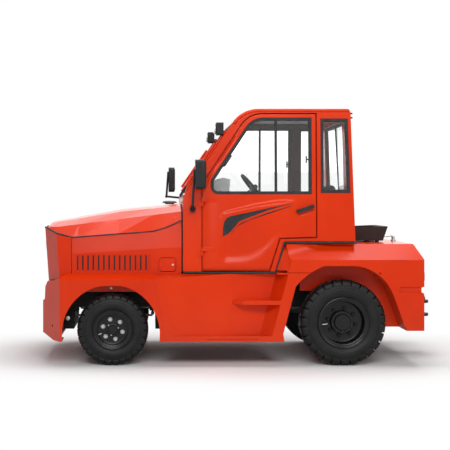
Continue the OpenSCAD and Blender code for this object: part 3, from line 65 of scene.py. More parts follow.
def objectNoise(tree, scale, detail=4.0, rough=0.55):
    coords = tree.nodes.new("ShaderNodeTexCoord")
    noise = addNode(tree, "ShaderNodeTexNoise", Scale=scale, Detail=detail, Roughness=rough)
    tree.links.new(coords.outputs["Object"], noise.inputs["Vector"])
    return noise.outputs["Fac"]


def rampOf(tree, source, low, high, start=0.3, end=0.7):
    ramp = tree.nodes.new("ShaderNodeValToRGB")
    for stop, position, tone in zip(ramp.color_ramp.elements, (start, end), (low, high)):
        stop.position = position
        stop.color = (*tone, 1.0)
    tree.links.new(source, ramp.inputs["Fac"])
    return ramp.outputs["Color"]


def toneFrom(tree, shader, source, tones):
    tree.links.new(rampOf(tree, source, *tones), shader.inputs["Base Color"])


def glossFrom(tree, shader, source, rough):
    span = addNode(tree, "ShaderNodeMapRange", To_Min=rough[0], To_Max=rough[1])
    tree.links.new(source, span.inputs["Value"])
    tree.links.new(span.outputs["Result"], shader.inputs["Roughness"])


def bumpFrom(tree, shader, source, strength, distance):
    bump = addNode(tree, "ShaderNodeBump", Strength=strength, Distance=distance)
    tree.links.new(source, bump.inputs["Height"])
    tree.links.new(bump.outputs["Normal"], shader.inputs["Normal"])


def combine(tree, operation, first, second):
    node = tree.nodes.new("ShaderNodeMath")
    node.operation = operation
    tree.links.new(first, node.inputs[0])
    tree.links.new(second, node.inputs[1])
    return node.outputs["Value"]


def variedFinish(name, tones, rough, mottle, grain, depth, metallic=0.0, shine=0.18):
    # two tones mottled at one scale, gloss that drifts, and a fine grain
    glossScale = 2.3
    mat, tree, shader = startMaterial(name)
    toneFrom(tree, shader, objectNoise(tree, mottle), tones)
    glossFrom(tree, shader, objectNoise(tree, mottle * glossScale, detail=6.0), rough)
    bumpFrom(tree, shader, objectNoise(tree, grain, detail=2.0), strength=0.35, distance=depth)
    shader.inputs["Metallic"].default_value = metallic
    shader.inputs["Specular IOR Level"].default_value = shine
    return mat


orangePaint = {"deep": (0.60, 0.026, 0.0012), "bright": (0.69, 0.036, 0.002), "mottle": 1.6,
               "rough": (0.17, 0.27), "shine": 0.16,
               "dust": (0.30, 0.10, 0.06), "dustTop": 0.60, "dustFoot": 0.15, "dustMost": 0.16}


def makeOrangePaint():
    paint = orangePaint
    mat, tree, shader = startMaterial("orangePaint")
    tone = rampOf(tree, objectNoise(tree, paint["mottle"], detail=3.0), paint["deep"], paint["bright"])
    # faint road dust low on the body
    coords = tree.nodes.new("ShaderNodeTexCoord")
    split = tree.nodes.new("ShaderNodeSeparateXYZ")
    tree.links.new(coords.outputs["Object"], split.inputs["Vector"])
    low = addNode(tree, "ShaderNodeMapRange", From_Min=paint["dustTop"], From_Max=paint["dustFoot"],
                  To_Max=paint["dustMost"])
    tree.links.new(split.outputs["Z"], low.inputs["Value"])
    speck = objectNoise(tree, 38.0, detail=8.0, rough=0.7)
    mix = tree.nodes.new("ShaderNodeMix")
    mix.data_type = "RGBA"
    tree.links.new(combine(tree, "MULTIPLY", low.outputs["Result"], speck), mix.inputs["Factor"])
    tree.links.new(tone, mix.inputs[6])  # colour A
    mix.inputs[7].default_value = (*paint["dust"], 1.0)  # colour B
    tree.links.new(mix.outputs[2], shader.inputs["Base Color"])  # mixed colour
    glossFrom(tree, shader, objectNoise(tree, 7.0, detail=6.0), paint["rough"])
    bumpFrom(tree, shader, objectNoise(tree, 420.0, detail=2.0), strength=0.06, distance=0.0006)
    shader.inputs["Specular IOR Level"].default_value = paint["shine"]
    return mat


def makeGlass():
    mat, tree, shader = startMaterial("cabGlass")
    shader.inputs["Base Color"].default_value = (0.985, 0.995, 0.992, 1.0)
    shader.inputs["Roughness"].default_value = 0.02
    shader.inputs["IOR"].default_value = 1.45
    shader.inputs["Transmission Weight"].default_value = 1.0
    bumpFrom(tree, shader, objectNoise(tree, 9.0, detail=5.0), strength=0.02, distance=0.0004)
    return mat


def makeLens(name, color, ribs):
    # clear moulding over fine upright ribs
    mat, tree, shader = startMaterial(name)
    shader.inputs["Base Color"].default_value = (*color, 1.0)
    shader.inputs["Roughness"].default_value = 0.12
    shader.inputs["Coat Weight"].default_value = 0.8
    wave = addNode(tree, "ShaderNodeTexWave", Scale=ribs, Distortion=0.0)
    wave.bands_direction = "Y"
    coords = tree.nodes.new("ShaderNodeTexCoord")
    tree.links.new(coords.outputs["Object"], wave.inputs["Vector"])
    bumpFrom(tree, shader, wave.outputs["Fac"], strength=0.4, distance=0.002)
    return mat


tyreRubber = {"tones": ((0.0045, 0.0045, 0.0047), (0.012, 0.0118, 0.0118)), "rough": (0.40, 0.58),
              "shine": 0.20}


def makeTread():
    mat, tree, shader = startMaterial("tyreRubber")
    toneFrom(tree, shader, objectNoise(tree, 14.0, detail=8.0, rough=0.65), tyreRubber["tones"])
    glossFrom(tree, shader, objectNoise(tree, 40.0), tyreRubber["rough"])
    bumpFrom(tree, shader, objectNoise(tree, 520.0, detail=3.0), strength=0.35, distance=0.0008)
    shader.inputs["Specular IOR Level"].default_value = tyreRubber["shine"]
    return mat


finishes = {
    "paint": makeOrangePaint(),
    "black_metal": variedFinish("blackEnamel", tones=((0.007, 0.007, 0.0075), (0.016, 0.016, 0.017)),
                                rough=(0.35, 0.52), mottle=5.0, grain=260.0, depth=0.0005),
    "rim_black": variedFinish("rimEnamel", tones=((0.004, 0.004, 0.0043), (0.009, 0.009, 0.0095)),
                              rough=(0.20, 0.32), mottle=9.0, grain=300.0, depth=0.0004, shine=0.24),
    "cast_iron": variedFinish("sandCasting", tones=((0.028, 0.028, 0.030), (0.060, 0.060, 0.064)),
                              rough=(0.55, 0.78), mottle=12.0, grain=180.0, depth=0.0016, metallic=0.3),
    "spring_steel": variedFinish("oiledSteel", tones=((0.040, 0.040, 0.043), (0.10, 0.10, 0.105)),
                                 rough=(0.38, 0.60), mottle=20.0, grain=240.0, depth=0.0006, metallic=0.8),
    "zinc_steel": variedFinish("galvanisedSteel", tones=((0.36, 0.36, 0.34), (0.58, 0.58, 0.56)),
                               rough=(0.32, 0.50), mottle=46.0, grain=300.0, depth=0.0003, metallic=0.9),
    "rubber": variedFinish("sealRubber", tones=((0.016, 0.018, 0.020), (0.030, 0.034, 0.036)),
                           rough=(0.50, 0.68), mottle=16.0, grain=340.0, depth=0.0005),
    "tyre": makeTread(),
    "glass": makeGlass(),
    "lamp_clear": makeLens("clearLens", color=(0.74, 0.76, 0.77), ribs=34.0),
    "lamp_red": makeLens("redLens", color=(0.42, 0.010, 0.008), ribs=40.0),
    "grille_black": variedFinish("blackMoulding", tones=((0.012, 0.012, 0.012), (0.024, 0.024, 0.024)),
                                 rough=(0.46, 0.62), mottle=18.0, grain=700.0, depth=0.0004),
    "bin_black": variedFinish("binMoulding", tones=((0.020, 0.013, 0.011), (0.034, 0.023, 0.020)),
                              rough=(0.48, 0.66), mottle=10.0, grain=600.0, depth=0.0005),
    "grey_plastic": variedFinish("greyMoulding", tones=((0.40, 0.40, 0.40), (0.49, 0.49, 0.485)),
                                 rough=(0.50, 0.66), mottle=14.0, grain=800.0, depth=0.0004),
    "seat_vinyl": variedFinish("blackVinyl", tones=((0.014, 0.014, 0.015), (0.028, 0.028, 0.030)),
                               rough=(0.42, 0.58), mottle=22.0, grain=480.0, depth=0.0009),
}
print("materials made:", len(finishes))

slotOf = {s["node"]: s["material_slot"] for s in frame["record"]["subparts"]}
for nodeName, node in cadNodes.items():
    node.data.materials.clear()
    node.data.materials.append(finishes[slotOf[nodeName]])
capFinish = variedFinish("capMoulding", tones=((0.06, 0.06, 0.06), (0.10, 0.10, 0.098)),
                         rough=(0.45, 0.60), mottle=14.0, grain=800.0, depth=0.0004)
cadNodes["air_precleaner"].data.materials[0] = capFinish


# Rounded copies of the folded and cast pieces

def place(obj, body):
    bpy.context.scene.collection.objects.link(obj)
    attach(obj, body)
    return obj


def meshPiece(name, shape, slot, body, smooth=True):
    mesh = bpy.data.meshes.new(name)
    shape.to_mesh(mesh)
    shape.free()
    for face in mesh.polygons:
        face.use_smooth = smooth
    mesh.materials.append(finishes[slot])
    return place(bpy.data.objects.new(name, mesh), body)


def fromBmesh(name, shape, slot, body, smooth=True):
    bmesh.ops.recalc_face_normals(shape, faces=shape.faces)
    return meshPiece(name, shape, slot, body, smooth)


def weighNormals(obj):
    weighted = obj.modifiers.new("shading", "WEIGHTED_NORMAL")
    weighted.keep_sharp = True
    weighted.weight = 80
    return obj


creaseAt = {"soft": 40, "rim": 38, "bolt": 35}  # degrees at which the shading breaks


def sharpEdges(obj, crease):
    split = obj.modifiers.new("creases", "EDGE_SPLIT")
    split.split_angle = math.radians(creaseAt[crease])
    return obj


# painted shade: a dark brown for the inside faces of the cab and doors, standing in for the shadow inside the
# cab
cabInsideShade = {
    "finish": variedFinish("cabInsideShade", tones=((0.040, 0.017, 0.014), (0.060, 0.024, 0.019)),
                           rough=(0.5, 0.65), mottle=12.0, grain=500.0, depth=0.0004),
    "facing": -0.6,
}


def shadeInside(obj):
    # painted shade: faces that look into the cab take a dark brown, the orange paint as it looks in the cab's
    # shadow
    obj.data.materials.append(cabInsideShade["finish"])
    for face in obj.data.polygons:
        if face.normal.y * math.copysign(1.0, face.center.y) < cabInsideShade["facing"]:
            face.material_index = 1


softEdge = {"weld": 0.00005, "flat": math.radians(0.6), "segments": 3, "angle": math.radians(28.0)}


def softEdged(nodeName, width):
    shape = bmesh.new()
    shape.from_mesh(cadNodes[nodeName].data)
    bmesh.ops.remove_doubles(shape, verts=shape.verts, dist=softEdge["weld"])
    bmesh.ops.dissolve_limit(shape, angle_limit=softEdge["flat"], verts=shape.verts, edges=shape.edges)
    piece = meshPiece(nodeName + "Soft", shape, slotOf[nodeName], nodeBody[nodeName])
    bevel = piece.modifiers.new("edges", "BEVEL")
    bevel.width = width
    bevel.segments = softEdge["segments"]
    bevel.profile = 0.5
    bevel.limit_method = "ANGLE"
    bevel.angle_limit = softEdge["angle"]
    bevel.use_clamp_overlap = True
    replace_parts(weighNormals(piece), nodeName)
    return piece


edgeWidths = {
    "front_bumper": 0.007, "side_sills": 0.006, "rear_body": 0.008, "nose_cowl": 0.008,
    "cab_sides": 0.005, "cab_roof": 0.010, "cab_rear_wall": 0.004, "cab_front_wall": 0.006,
    "fuel_flap": 0.002, "dashboard": 0.016, "rear_bin": 0.003, "tow_hitch": 0.003,
    "chassis_frame": 0.004, "front_axle": 0.004, "left_knuckle": 0.003, "right_knuckle": 0.003,
    "mirrors": 0.006, "work_lamps": 0.004, "left_door_trim": 0.003, "right_door_trim": 0.003,
    "window_seals": 0.004, "grille": 0.002, "headlamps": 0.003, "tail_lamps": 0.004, "seat_base": 0.004,
    "pedals": 0.003, "engine": 0.008, "gearbox": 0.008, "radiator": 0.003, "fuel_tank": 0.012,
    "leaf_springs": 0.0015, "rear_axle": 0.004, "cab_floor": 0.003,
}
softPieces = {nodeName: softEdged(nodeName, width) for nodeName, width in edgeWidths.items()}
shadeInside(softPieces["cab_sides"])
print("rounded copies:", len(softPieces))


# Small shapes used by the pieces below

handSide = {"left": 1, "right": -1}  # the way y points out of the machine


def onSide(points, side):
    return [(x, side * y, z) for x, y, z in points]


def addBox(shape, low, high):
    middle = Matrix.Translation([(a + b) / 2 for a, b in zip(low, high)])
    size = Matrix.Diagonal([b - a for a, b in zip(low, high)] + [1.0])
    bmesh.ops.create_cube(shape, size=1.0, matrix=middle @ size)


def addBlock(shape, middle, half):
    addBox(shape, [c - h for c, h in zip(middle, half)], [c + h for c, h in zip(middle, half)])


def addRod(shape, start, end, radius, sides=20, endRadius=None):
    way = Vector(end) - Vector(start)
    turn = way.to_track_quat("Z", "Y").to_matrix().to_4x4()
    middle = (Vector(start) + Vector(end)) / 2
    bmesh.ops.create_cone(shape, cap_ends=True, segments=sides, radius1=radius,
                          radius2=radius if endRadius is None else endRadius, depth=way.length,
                          matrix=Matrix.Translation(middle) @ turn)


def addTube(shape, points, radius, sides=16):
    for start, end in zip(points, points[1:]):
        addRod(shape, start, end, radius, sides)
    for point in points[1:-1]:
        bmesh.ops.create_icosphere(shape, subdivisions=2, radius=radius, matrix=Matrix.Translation(point))


def roundEdges(shape, edges, width, segments):
    bmesh.ops.bevel(shape, geom=edges, offset=width, segments=segments, profile=0.5, affect="EDGES",
                    material=-1)


def cutPlane(shape, spot, normal):
    bmesh.ops.bisect_plane(shape, geom=list(shape.verts) + list(shape.edges) + list(shape.faces),
                           plane_co=spot, plane_no=normal, dist=0.00002)


def hexNut(shape, spot, side, size, height):
    # flanged nut with a domed stud end, facing outwards
    # each step: corners, foot radius, top radius, start and end, as shares of size and height
    stack = ((40, 1.22, 1.10, 0.0, 0.24), (6, 1.0, 1.0, 0.22, 0.80), (6, 1.0, 0.80, 0.80, 0.96),
             (20, 0.48, 0.46, 0.90, 1.16), (20, 0.46, 0.32, 1.16, 1.24))
    turn = Matrix.Rotation(math.radians(-90 * side), 4, "X")
    for corners, low, high, start, end in stack:
        middle = spot + Vector((0, side * height * (start + end) / 2, 0))
        bmesh.ops.create_cone(shape, cap_ends=True, segments=corners, radius1=low * size, radius2=high * size,
                              depth=height * (end - start), matrix=Matrix.Translation(middle) @ turn)


def smoothStep(t):
    t = min(1.0, max(0.0, t))
    return t * t * (3 - 2 * t)


def curveAt(points, x):
    # smooth height along points that run from high x to low x
    i = next((k for k in range(len(points) - 2) if x >= points[k + 1][0]), len(points) - 2)

    def slope(k):
        a, b = points[max(k - 1, 0)], points[min(k + 1, len(points) - 1)]
        return (b[1] - a[1]) / (b[0] - a[0])

    (x0, z0), (x1, z1) = points[i], points[i + 1]
    t = (x - x0) / (x1 - x0)
    if t < 0:
        return z0
    span = x1 - x0
    return ((2 * t ** 3 - 3 * t ** 2 + 1) * z0 + (t ** 3 - 2 * t ** 2 + t) * span * slope(i)
            + (3 * t ** 2 - 2 * t ** 3) * z1 + (t ** 3 - t ** 2) * span * slope(i + 1))


# Doors with their pressed relief, handle cup and stripe

cabSide = {"floorZ": 0.774, "half": 0.680, "lean": math.atan(0.05 / 1.35)}
doorRelief = {
    "rise": 0.014, "middle": 1.120, "reach": 0.210, "band": 0.034,
    "front": 0.222, "frontFade": 0.070, "rear": -0.455, "rearFade": 0.170,
    "top": [(0.214, 1.218), (0.186, 1.267), (0.108, 1.292), (-0.024, 1.323), (-0.135, 1.344),
            (-0.273, 1.364), (-0.449, 1.378)],
    "scoop": [(0.214, 0.905), (0.158, 0.910), (0.031, 0.919), (-0.052, 0.938), (-0.135, 0.974),
              (-0.185, 1.007), (-0.234, 1.068), (-0.334, 1.129), (-0.455, 1.180)],
    "foot": [(0.214, 0.830), (0.004, 0.830), (-0.057, 0.847), (-0.123, 0.891), (-0.179, 0.958),
             (-0.246, 1.024), (-0.334, 1.107), (-0.455, 1.172)],
}
handleCup = {"middle": (-0.500, 1.270), "half": 0.044, "radius": 0.020, "edge": 0.008, "depth": 0.009,
             "turn": math.radians(18)}


def sideY(z):
    return cabSide["half"] - (z - cabSide["floorZ"]) * math.tan(cabSide["lean"])


def reliefAt(x, z):
    r = doorRelief
    top, scoop, foot = (curveAt(r[line], x) for line in ("top", "scoop", "foot"))
    fade = smoothStep((r["front"] - x) / r["frontFade"]) * smoothStep((x - r["rear"]) / r["rearFade"])

    def tilt(height):
        return r["rise"] * (height - r["middle"]) / r["reach"]

    if z >= top or z <= foot:
        return 0.0
    if z > top - r["band"]:
        return fade * smoothStep((top - z) / r["band"]) * tilt(top - r["band"])
    if z >= scoop:
        return fade * tilt(z)
    return fade * smoothStep((z - foot) / (scoop - foot)) * tilt(scoop)


def cupAt(x, z):
    c = handleCup
    dx, dz = x - c["middle"][0], z - c["middle"][1]
    along = dx * math.cos(c["turn"]) - dz * math.sin(c["turn"])
    across = dx * math.sin(c["turn"]) + dz * math.cos(c["turn"])
    gap = math.hypot(max(0.0, abs(along) - c["half"]), across)
    return -c["depth"] * smoothStep((c["radius"] - gap) / c["edge"])


def stepsFrom(start, end, step):
    return [start + step * i for i in range(int((end - start) / step) + 1)]


def cutGrid(shape, xs, zs):
    for value, axis in [(x, (1, 0, 0)) for x in xs] + [(z, (0, 0, 1)) for z in zs]:
        cutPlane(shape, [value * a for a in axis], axis)


reliefXs = stepsFrom(-0.460, 0.224, 0.012)
reliefZs = stepsFrom(0.826, 1.384, 0.012)
cupXs = stepsFrom(-0.574, -0.424, 0.005)
cupZs = stepsFrom(1.232, 1.310, 0.005)
doorSkin = {"hingeX": 0.300, "depth": 0.020, "weld": 0.00006, "sliver": 0.00005, "flat": math.radians(0.6),
            "sharp": math.radians(50), "rimReach": 0.0005, "rim": 0.004, "faceReach": 0.0003}


def makeDoor(hand, side):
    d = doorSkin
    name = hand + "_door"
    lean = cabSide["lean"]

    def onFace(v, reach):
        return v.co.x < d["hingeX"] and abs(side * v.co.y - sideY(v.co.z)) < reach

    shape = bmesh.new()
    shape.from_mesh(cadNodes[name].data)
    # the outer face goes flat first, then takes the smooth relief
    for v in shape.verts:
        out = (side * v.co.y - sideY(v.co.z)) * math.cos(lean)
        if v.co.x < d["hingeX"] and out > -d["depth"]:
            v.co.y -= side * out * math.cos(lean)
            v.co.z -= out * math.sin(lean)
    bmesh.ops.remove_doubles(shape, verts=shape.verts, dist=d["weld"])
    bmesh.ops.dissolve_degenerate(shape, edges=shape.edges, dist=d["sliver"])
    bmesh.ops.dissolve_limit(shape, angle_limit=d["flat"], verts=shape.verts, edges=shape.edges)
    rims = [e for e in shape.edges if len(e.link_faces) == 2 and e.calc_face_angle(0) > d["sharp"]
            and all(onFace(v, d["rimReach"]) for v in e.verts)]
    roundEdges(shape, rims, d["rim"], 3)
    cutGrid(shape, reliefXs + cupXs, reliefZs + cupZs)
    for v in shape.verts:
        if onFace(v, d["faceReach"]):
            v.co.y += side * (reliefAt(v.co.x, v.co.z) + cupAt(v.co.x, v.co.z))
    skin = fromBmesh(hand + "DoorSkin", shape, "paint", nodeBody[name])
    shadeInside(skin)
    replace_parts(weighNormals(skin), name)


stripe = {
    "lift": 0.0009,
    "edge": [(0.189, 1.062), (0.186, 1.134), (0.175, 1.190), (0.153, 1.218), (0.120, 1.232),
             (-0.024, 1.262), (-0.190, 1.298), (-0.400, 1.340), (-0.190, 1.281), (-0.024, 1.218),
             (0.053, 1.187), (0.080, 1.157), (0.108, 1.118), (0.142, 1.085)],
    "thinTop": [(0.118, 1.086), (0.090, 1.122), (0.062, 1.156), (0.030, 1.178), (-0.030, 1.202),
                (-0.190, 1.262), (-0.380, 1.318)],
    "thinWidth": 0.005,
}


def makeStripe(hand, side):
    thin = stripe["thinTop"] + [(x, z - stripe["thinWidth"]) for x, z in reversed(stripe["thinTop"])]
    shape = bmesh.new()
    for outline in (stripe["edge"], thin):
        shape.faces.new([shape.verts.new((x, 0, z)) for x, z in outline])
    bmesh.ops.triangulate(shape, faces=shape.faces)
    cutGrid(shape, reliefXs, reliefZs)
    for v in shape.verts:
        v.co.y = side * (sideY(v.co.z) + reliefAt(v.co.x, v.co.z) + stripe["lift"])
    fromBmesh(hand + "DoorStripe", shape, "rubber", nodeBody[hand + "_door"])


for hand, side in handSide.items():
    makeDoor(hand, side)
    makeStripe(hand, side)
print("doors made")


# Engine side panels: flat sheet with a crease below the hood seam

panelCrease = {"front": (1.443, 0.916), "rear": (0.530, 0.975), "lean": 0.09, "outside": 0.628,
               "weld": 0.00005}


def makeEnginePanels():
    (frontX, frontZ), (rearX, rearZ) = panelCrease["front"], panelCrease["rear"]
    shape = bmesh.new()
    shape.from_mesh(cadNodes["engine_panels"].data)
    bmesh.ops.remove_doubles(shape, verts=shape.verts, dist=panelCrease["weld"])
    start = Vector((frontX, 0, frontZ))
    up = Vector((rearZ - frontZ, 0, frontX - rearX)).normalized()
    cutPlane(shape, start, up)
    for v in shape.verts:
        rise = (v.co - start).dot(up)
        if rise > 0 and abs(v.co.y) > panelCrease["outside"]:
            v.co.y -= math.copysign(rise * panelCrease["lean"], v.co.y)
    panels = fromBmesh("enginePanelSheet", shape, "paint", nodeBody["engine_panels"], smooth=False)
    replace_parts(panels, "engine_panels")


louvreShadeStrip = {"count": 14, "front": 1.385, "pitch": 0.0437, "blade": 0.72, "low": 0.783, "high": 0.906,
               "face": 0.640, "sunk": 0.001, "proud": 0.0008, "corner": 0.004}


def makeLouvreShadeStrips():
    # painted shade: dark strips on the panel ahead of the louvre blades, standing in for the shadowed
    # openings
    m = louvreShadeStrip
    shape = bmesh.new()
    for side in handSide.values():
        low, high = sorted((side * (m["face"] - m["sunk"]), side * (m["face"] + m["proud"])))
        for i in range(m["count"]):
            rear = m["front"] - i * m["pitch"]
            front = rear + (1 - m["blade"]) * m["pitch"]
            addBox(shape, (rear, low, m["low"]), (front, high, m["high"]))
    corners = [e for e in shape.edges if abs(e.verts[0].co.y - e.verts[1].co.y) > m["sunk"] / 2]
    roundEdges(shape, corners, m["corner"], 4)
    fromBmesh("louvreShadeStrips", shape, "grille_black", nodeBody["engine_panels"], smooth=False)


# radius, then the points of the line, on the left side
bodySeals = {
    "hoodSide": (0.0045, [(0.530, 0.640, 1.196), (0.592, 0.640, 1.167), (0.671, 0.640, 1.132),
                          (0.766, 0.640, 1.106), (1.433, 0.640, 1.056), (1.567, 0.640, 1.090)]),
    "hoodCorner": (0.0075, [(1.470, 0.640, 1.064), (1.567, 0.639, 1.090), (1.663, 0.473, 1.130),
                            (1.677, 0.449, 1.133)]),
    "cabFoot": (0.0085, [(0.517, 0.682, 0.764), (-0.250, 0.682, 0.764), (-0.322, 0.680, 1.010),
                         (-0.910, 0.680, 1.010)]),
    "cabFront": (0.0062, [(0.5235, 0.634, 0.772), (0.5235, 0.634, 1.190), (0.5235, 0.556, 1.262),
                          (0.5235, 0.300, 1.312), (0.5235, 0.0, 1.322)]),
}
sillBead = (0.0055, [(0.759, 0.684, 0.754), (0.7518, 0.777, 0.714), (0.663, 0.777, 0.208)])
postStrip = (0.0105, [(0.4905, 0.627, 1.4444), (0.1584, 0.6086, 1.9441)])
cornerFiller = {"low": (-0.345, 0.640, 0.762), "high": (-0.246, 0.668, 0.800)}


def makeSeals():
    shape = bmesh.new()
    bead = bmesh.new()
    for side in handSide.values():
        for radius, path in bodySeals.values():
            addTube(shape, onSide(path, side), radius)
        for radius, path in (sillBead, postStrip):
            addTube(bead, onSide(path, side), radius)
        ends = onSide((cornerFiller["low"], cornerFiller["high"]), side)
        addBox(bead, [min(pair) for pair in zip(*ends)], [max(pair) for pair in zip(*ends)])
    sharpEdges(fromBmesh("bodySeals", shape, "rubber", nodeBody["engine_panels"]), "soft")
    sharpEdges(fromBmesh("bodyFillers", bead, "paint", nodeBody["side_sills"]), "soft")


flapLock = {"spot": (0.601, 0.643, 0.828), "radius": 0.0085, "length": 0.004, "taper": 0.86, "core": 0.5,
            "coreProud": 0.001}


def makeFlapLock():
    k = flapLock
    x, y, z = k["spot"]
    shape = bmesh.new()
    addRod(shape, (x, y, z), (x, y + k["length"], z), k["radius"], 28, k["radius"] * k["taper"])
    addRod(shape, (x, y, z), (x, y + k["length"] + k["coreProud"], z), k["radius"] * k["core"], 20)
    sharpEdges(fromBmesh("flapLock", shape, "zinc_steel", nodeBody["fuel_flap"]), "bolt")


# painted shade: black discs on the sill's bottom flange where the perforations show dark
sillHoleShade = {"front": 0.316, "pitch": 0.0191, "count": 22, "z": 0.226, "face": 0.780, "radius": 0.0046,
             "sunk": 0.002, "proud": 0.0006}


def makeSillHoleShades():
    h = sillHoleShade
    shape = bmesh.new()
    for side in handSide.values():
        for i in range(h["count"]):
            x = h["front"] - i * h["pitch"]
            addRod(shape, (x, side * (h["face"] - h["sunk"]), h["z"]),
                   (x, side * (h["face"] + h["proud"]), h["z"]), h["radius"], 14)
    sharpEdges(fromBmesh("sillHoleShade", shape, "grille_black", nodeBody["side_sills"]), "bolt")


# where each bolt sits on the left side, and its size
archBolts = {"height": 0.012, "bolts": [((1.115, 0.606, 0.632), 0.013), ((1.471, 0.640, 0.384), 0.015)]}


def makeArchBolts():
    shape = bmesh.new()
    for side in handSide.values():
        for (x, y, z), size in archBolts["bolts"]:
            hexNut(shape, Vector((x, side * y, z)), side, size, archBolts["height"])
    sharpEdges(fromBmesh("archBolts", shape, "zinc_steel", nodeBody["front_bumper"]), "bolt")


rearGroove = {"front": -1.253, "back": -1.428, "inside": 0.600, "top": 0.652, "foot": 0.595, "ledge": 0.004,
              "lip": 0.016, "depth": 0.011, "skin": 0.755, "margin": 0.001}


def pressRearGroove(piece):
    # a shallow channel pressed round the rear corner, with a sharp top and a soft foot
    g = rearGroove
    shape = bmesh.new()
    shape.from_object(piece, bpy.context.evaluated_depsgraph_get())
    for value, axis in ((g["top"], 2), (g["top"] - g["ledge"], 2), (g["foot"] + g["lip"], 2), (g["foot"], 2),
                        (g["front"], 0), (g["front"] - g["ledge"], 0), (g["inside"], 1), (-g["inside"], 1)):
        normal = Vector((0, 0, 0))
        normal[axis] = 1.0
        cutPlane(shape, normal * value, normal)
    for v in shape.verts:
        x, y, z = v.co
        sink = min(1.0, (g["top"] - z) / g["ledge"], (z - g["foot"]) / g["lip"],
                   (g["front"] - x) / g["ledge"])
        if sink > 0 and abs(y) > g["skin"]:
            v.co.y -= math.copysign(sink * g["depth"], y)
        if sink > 0 and x < g["back"] and abs(y) > g["inside"] + g["margin"]:
            v.co.x += sink * g["depth"]
    piece.modifiers.clear()
    shape.to_mesh(piece.data)
    shape.free()
    weighNormals(piece)


makeEnginePanels()
makeLouvreShadeStrips()
makeSeals()
makeFlapLock()
makeSillHoleShades()
makeArchBolts()
pressRearGroove(softPieces["rear_body"])
print("engine panels, seals and fasteners made")


# Cab fittings

headliner = {"centre": (-0.1101, 1.864), "radius": 0.228, "start": 33.6, "back": (-0.850, 2.086),
             "half": 0.560, "thick": 0.006, "steps": 10}


def makeHeadliner():
    h = headliner
    x, z = h["centre"]
    turns = [math.radians(h["start"] + (90 - h["start"]) * i / h["steps"]) for i in range(h["steps"] + 1)]
    line = [(x + h["radius"] * math.cos(t), z + h["radius"] * math.sin(t)) for t in turns]
    line.append(h["back"])
    shape = bmesh.new()
    verts = [shape.verts.new((x, -h["half"], z)) for x, z in line]
    edges = [shape.edges.new(pair) for pair in zip(verts, verts[1:])]
    swept = bmesh.ops.extrude_edge_only(shape, edges=edges)["geom"]
    moved = [v for v in swept if isinstance(v, bmesh.types.BMVert)]
    bmesh.ops.translate(shape, verts=moved, vec=(0, 2 * h["half"], 0))
    bmesh.ops.recalc_face_normals(shape, faces=shape.faces)
    bmesh.ops.solidify(shape, geom=list(shape.faces), thickness=h["thick"])
    sharpEdges(fromBmesh("headliner", shape, "grey_plastic", nodeBody["cab_roof"]), "soft")


windowLatch = {"spot": (-0.512, 1.702), "inset": 0.040, "bar": (0.013, 0.016, 0.064), "corner": 0.004,
               "stemEnd": -0.540, "stemRadius": 0.0065}


def makeLatch(hand, side):
    # a T handle inside the sliding window
    w = windowLatch
    x, z = w["spot"]
    y = side * (sideY(z) - w["inset"])
    shape = bmesh.new()
    addBlock(shape, (x, y, z), [length / 2 for length in w["bar"]])
    roundEdges(shape, list(shape.edges), w["corner"], 3)
    addRod(shape, (x, y, z), (w["stemEnd"], y, z), w["stemRadius"])
    sharpEdges(fromBmesh(hand + "WindowLatch", shape, "rubber", nodeBody[hand + "_door"]), "soft")


insideMirror = {"middle": (0.112, 0.0, 1.716), "size": (0.040, 0.230, 0.125), "lean": 33.6, "corner": 0.015,
                "stalk": [(0.105, 0.0, 1.735), (0.090, 0.0, 1.860), (0.110, 0.0, 1.985)],
                "stalkRadius": 0.007}


def makeInsideMirror():
    m = insideMirror
    turn = Matrix.Translation(m["middle"]) @ Matrix.Rotation(math.radians(-m["lean"]), 4, "Y")
    shape = bmesh.new()
    bmesh.ops.create_cube(shape, size=1.0, matrix=turn @ Matrix.Diagonal((*m["size"], 1.0)))
    roundEdges(shape, list(shape.edges), m["corner"], 4)
    addTube(shape, m["stalk"], m["stalkRadius"])
    sharpEdges(fromBmesh("insideMirror", shape, "grille_black", nodeBody["cab_roof"]), "soft")


rearBar = {"low": (-0.886, 1.405), "high": (-0.850, 2.030), "half": 0.010, "y": 0.080, "deep": 0.016,
           "corner": 0.003}
gearLever = {"path": [(-0.060, -0.270, 1.020), (-0.120, -0.270, 1.300), (-0.174, -0.265, 1.470)],
             "radius": 0.008, "knob": (-0.176, -0.265, 1.484), "knobRadius": 0.024}


def makeCabFittings():
    shape = bmesh.new()
    r = rearBar
    rise = r["high"][1] - r["low"][1]
    addBox(shape, (-r["deep"] / 2, -r["half"], 0.0), (r["deep"] / 2, r["half"], rise))
    roundEdges(shape, list(shape.edges), r["corner"], 2)
    for v in shape.verts:
        v.co.x += r["low"][0] + (r["high"][0] - r["low"][0]) * v.co.z / rise
        v.co.y += r["y"]
        v.co.z += r["low"][1]
    g = gearLever
    addTube(shape, g["path"], g["radius"])
    bmesh.ops.create_uvsphere(shape, u_segments=28, v_segments=18, radius=g["knobRadius"],
                              matrix=Matrix.Translation(g["knob"]))
    sharpEdges(fromBmesh("cabFittings", shape, "rubber", nodeBody["cab_floor"]), "soft")


# middle and half size of each back
mirrorShell = {"corner": 0.026,
               "left": ((0.378, 0.850, 1.572), (0.044, 0.0395, 0.1195)),
               "right": ((0.580, -0.850, 1.561), (0.032, 0.0395, 0.1195))}


def makeMirrorShells():
    # moulded backs round the mirror heads
    m = mirrorShell
    shape = bmesh.new()
    for hand in handSide:
        addBlock(shape, *m[hand])
    roundEdges(shape, list(shape.edges), m["corner"], 6)
    fromBmesh("mirrorShells", shape, "grille_black", nodeBody["mirrors"])


# radius and length of bezel and lens
lampFace = {"spot": (0.2385, 0.6082, 1.9567), "bezel": (0.047, 0.009), "lens": (0.041, 0.021), "taper": 0.9}


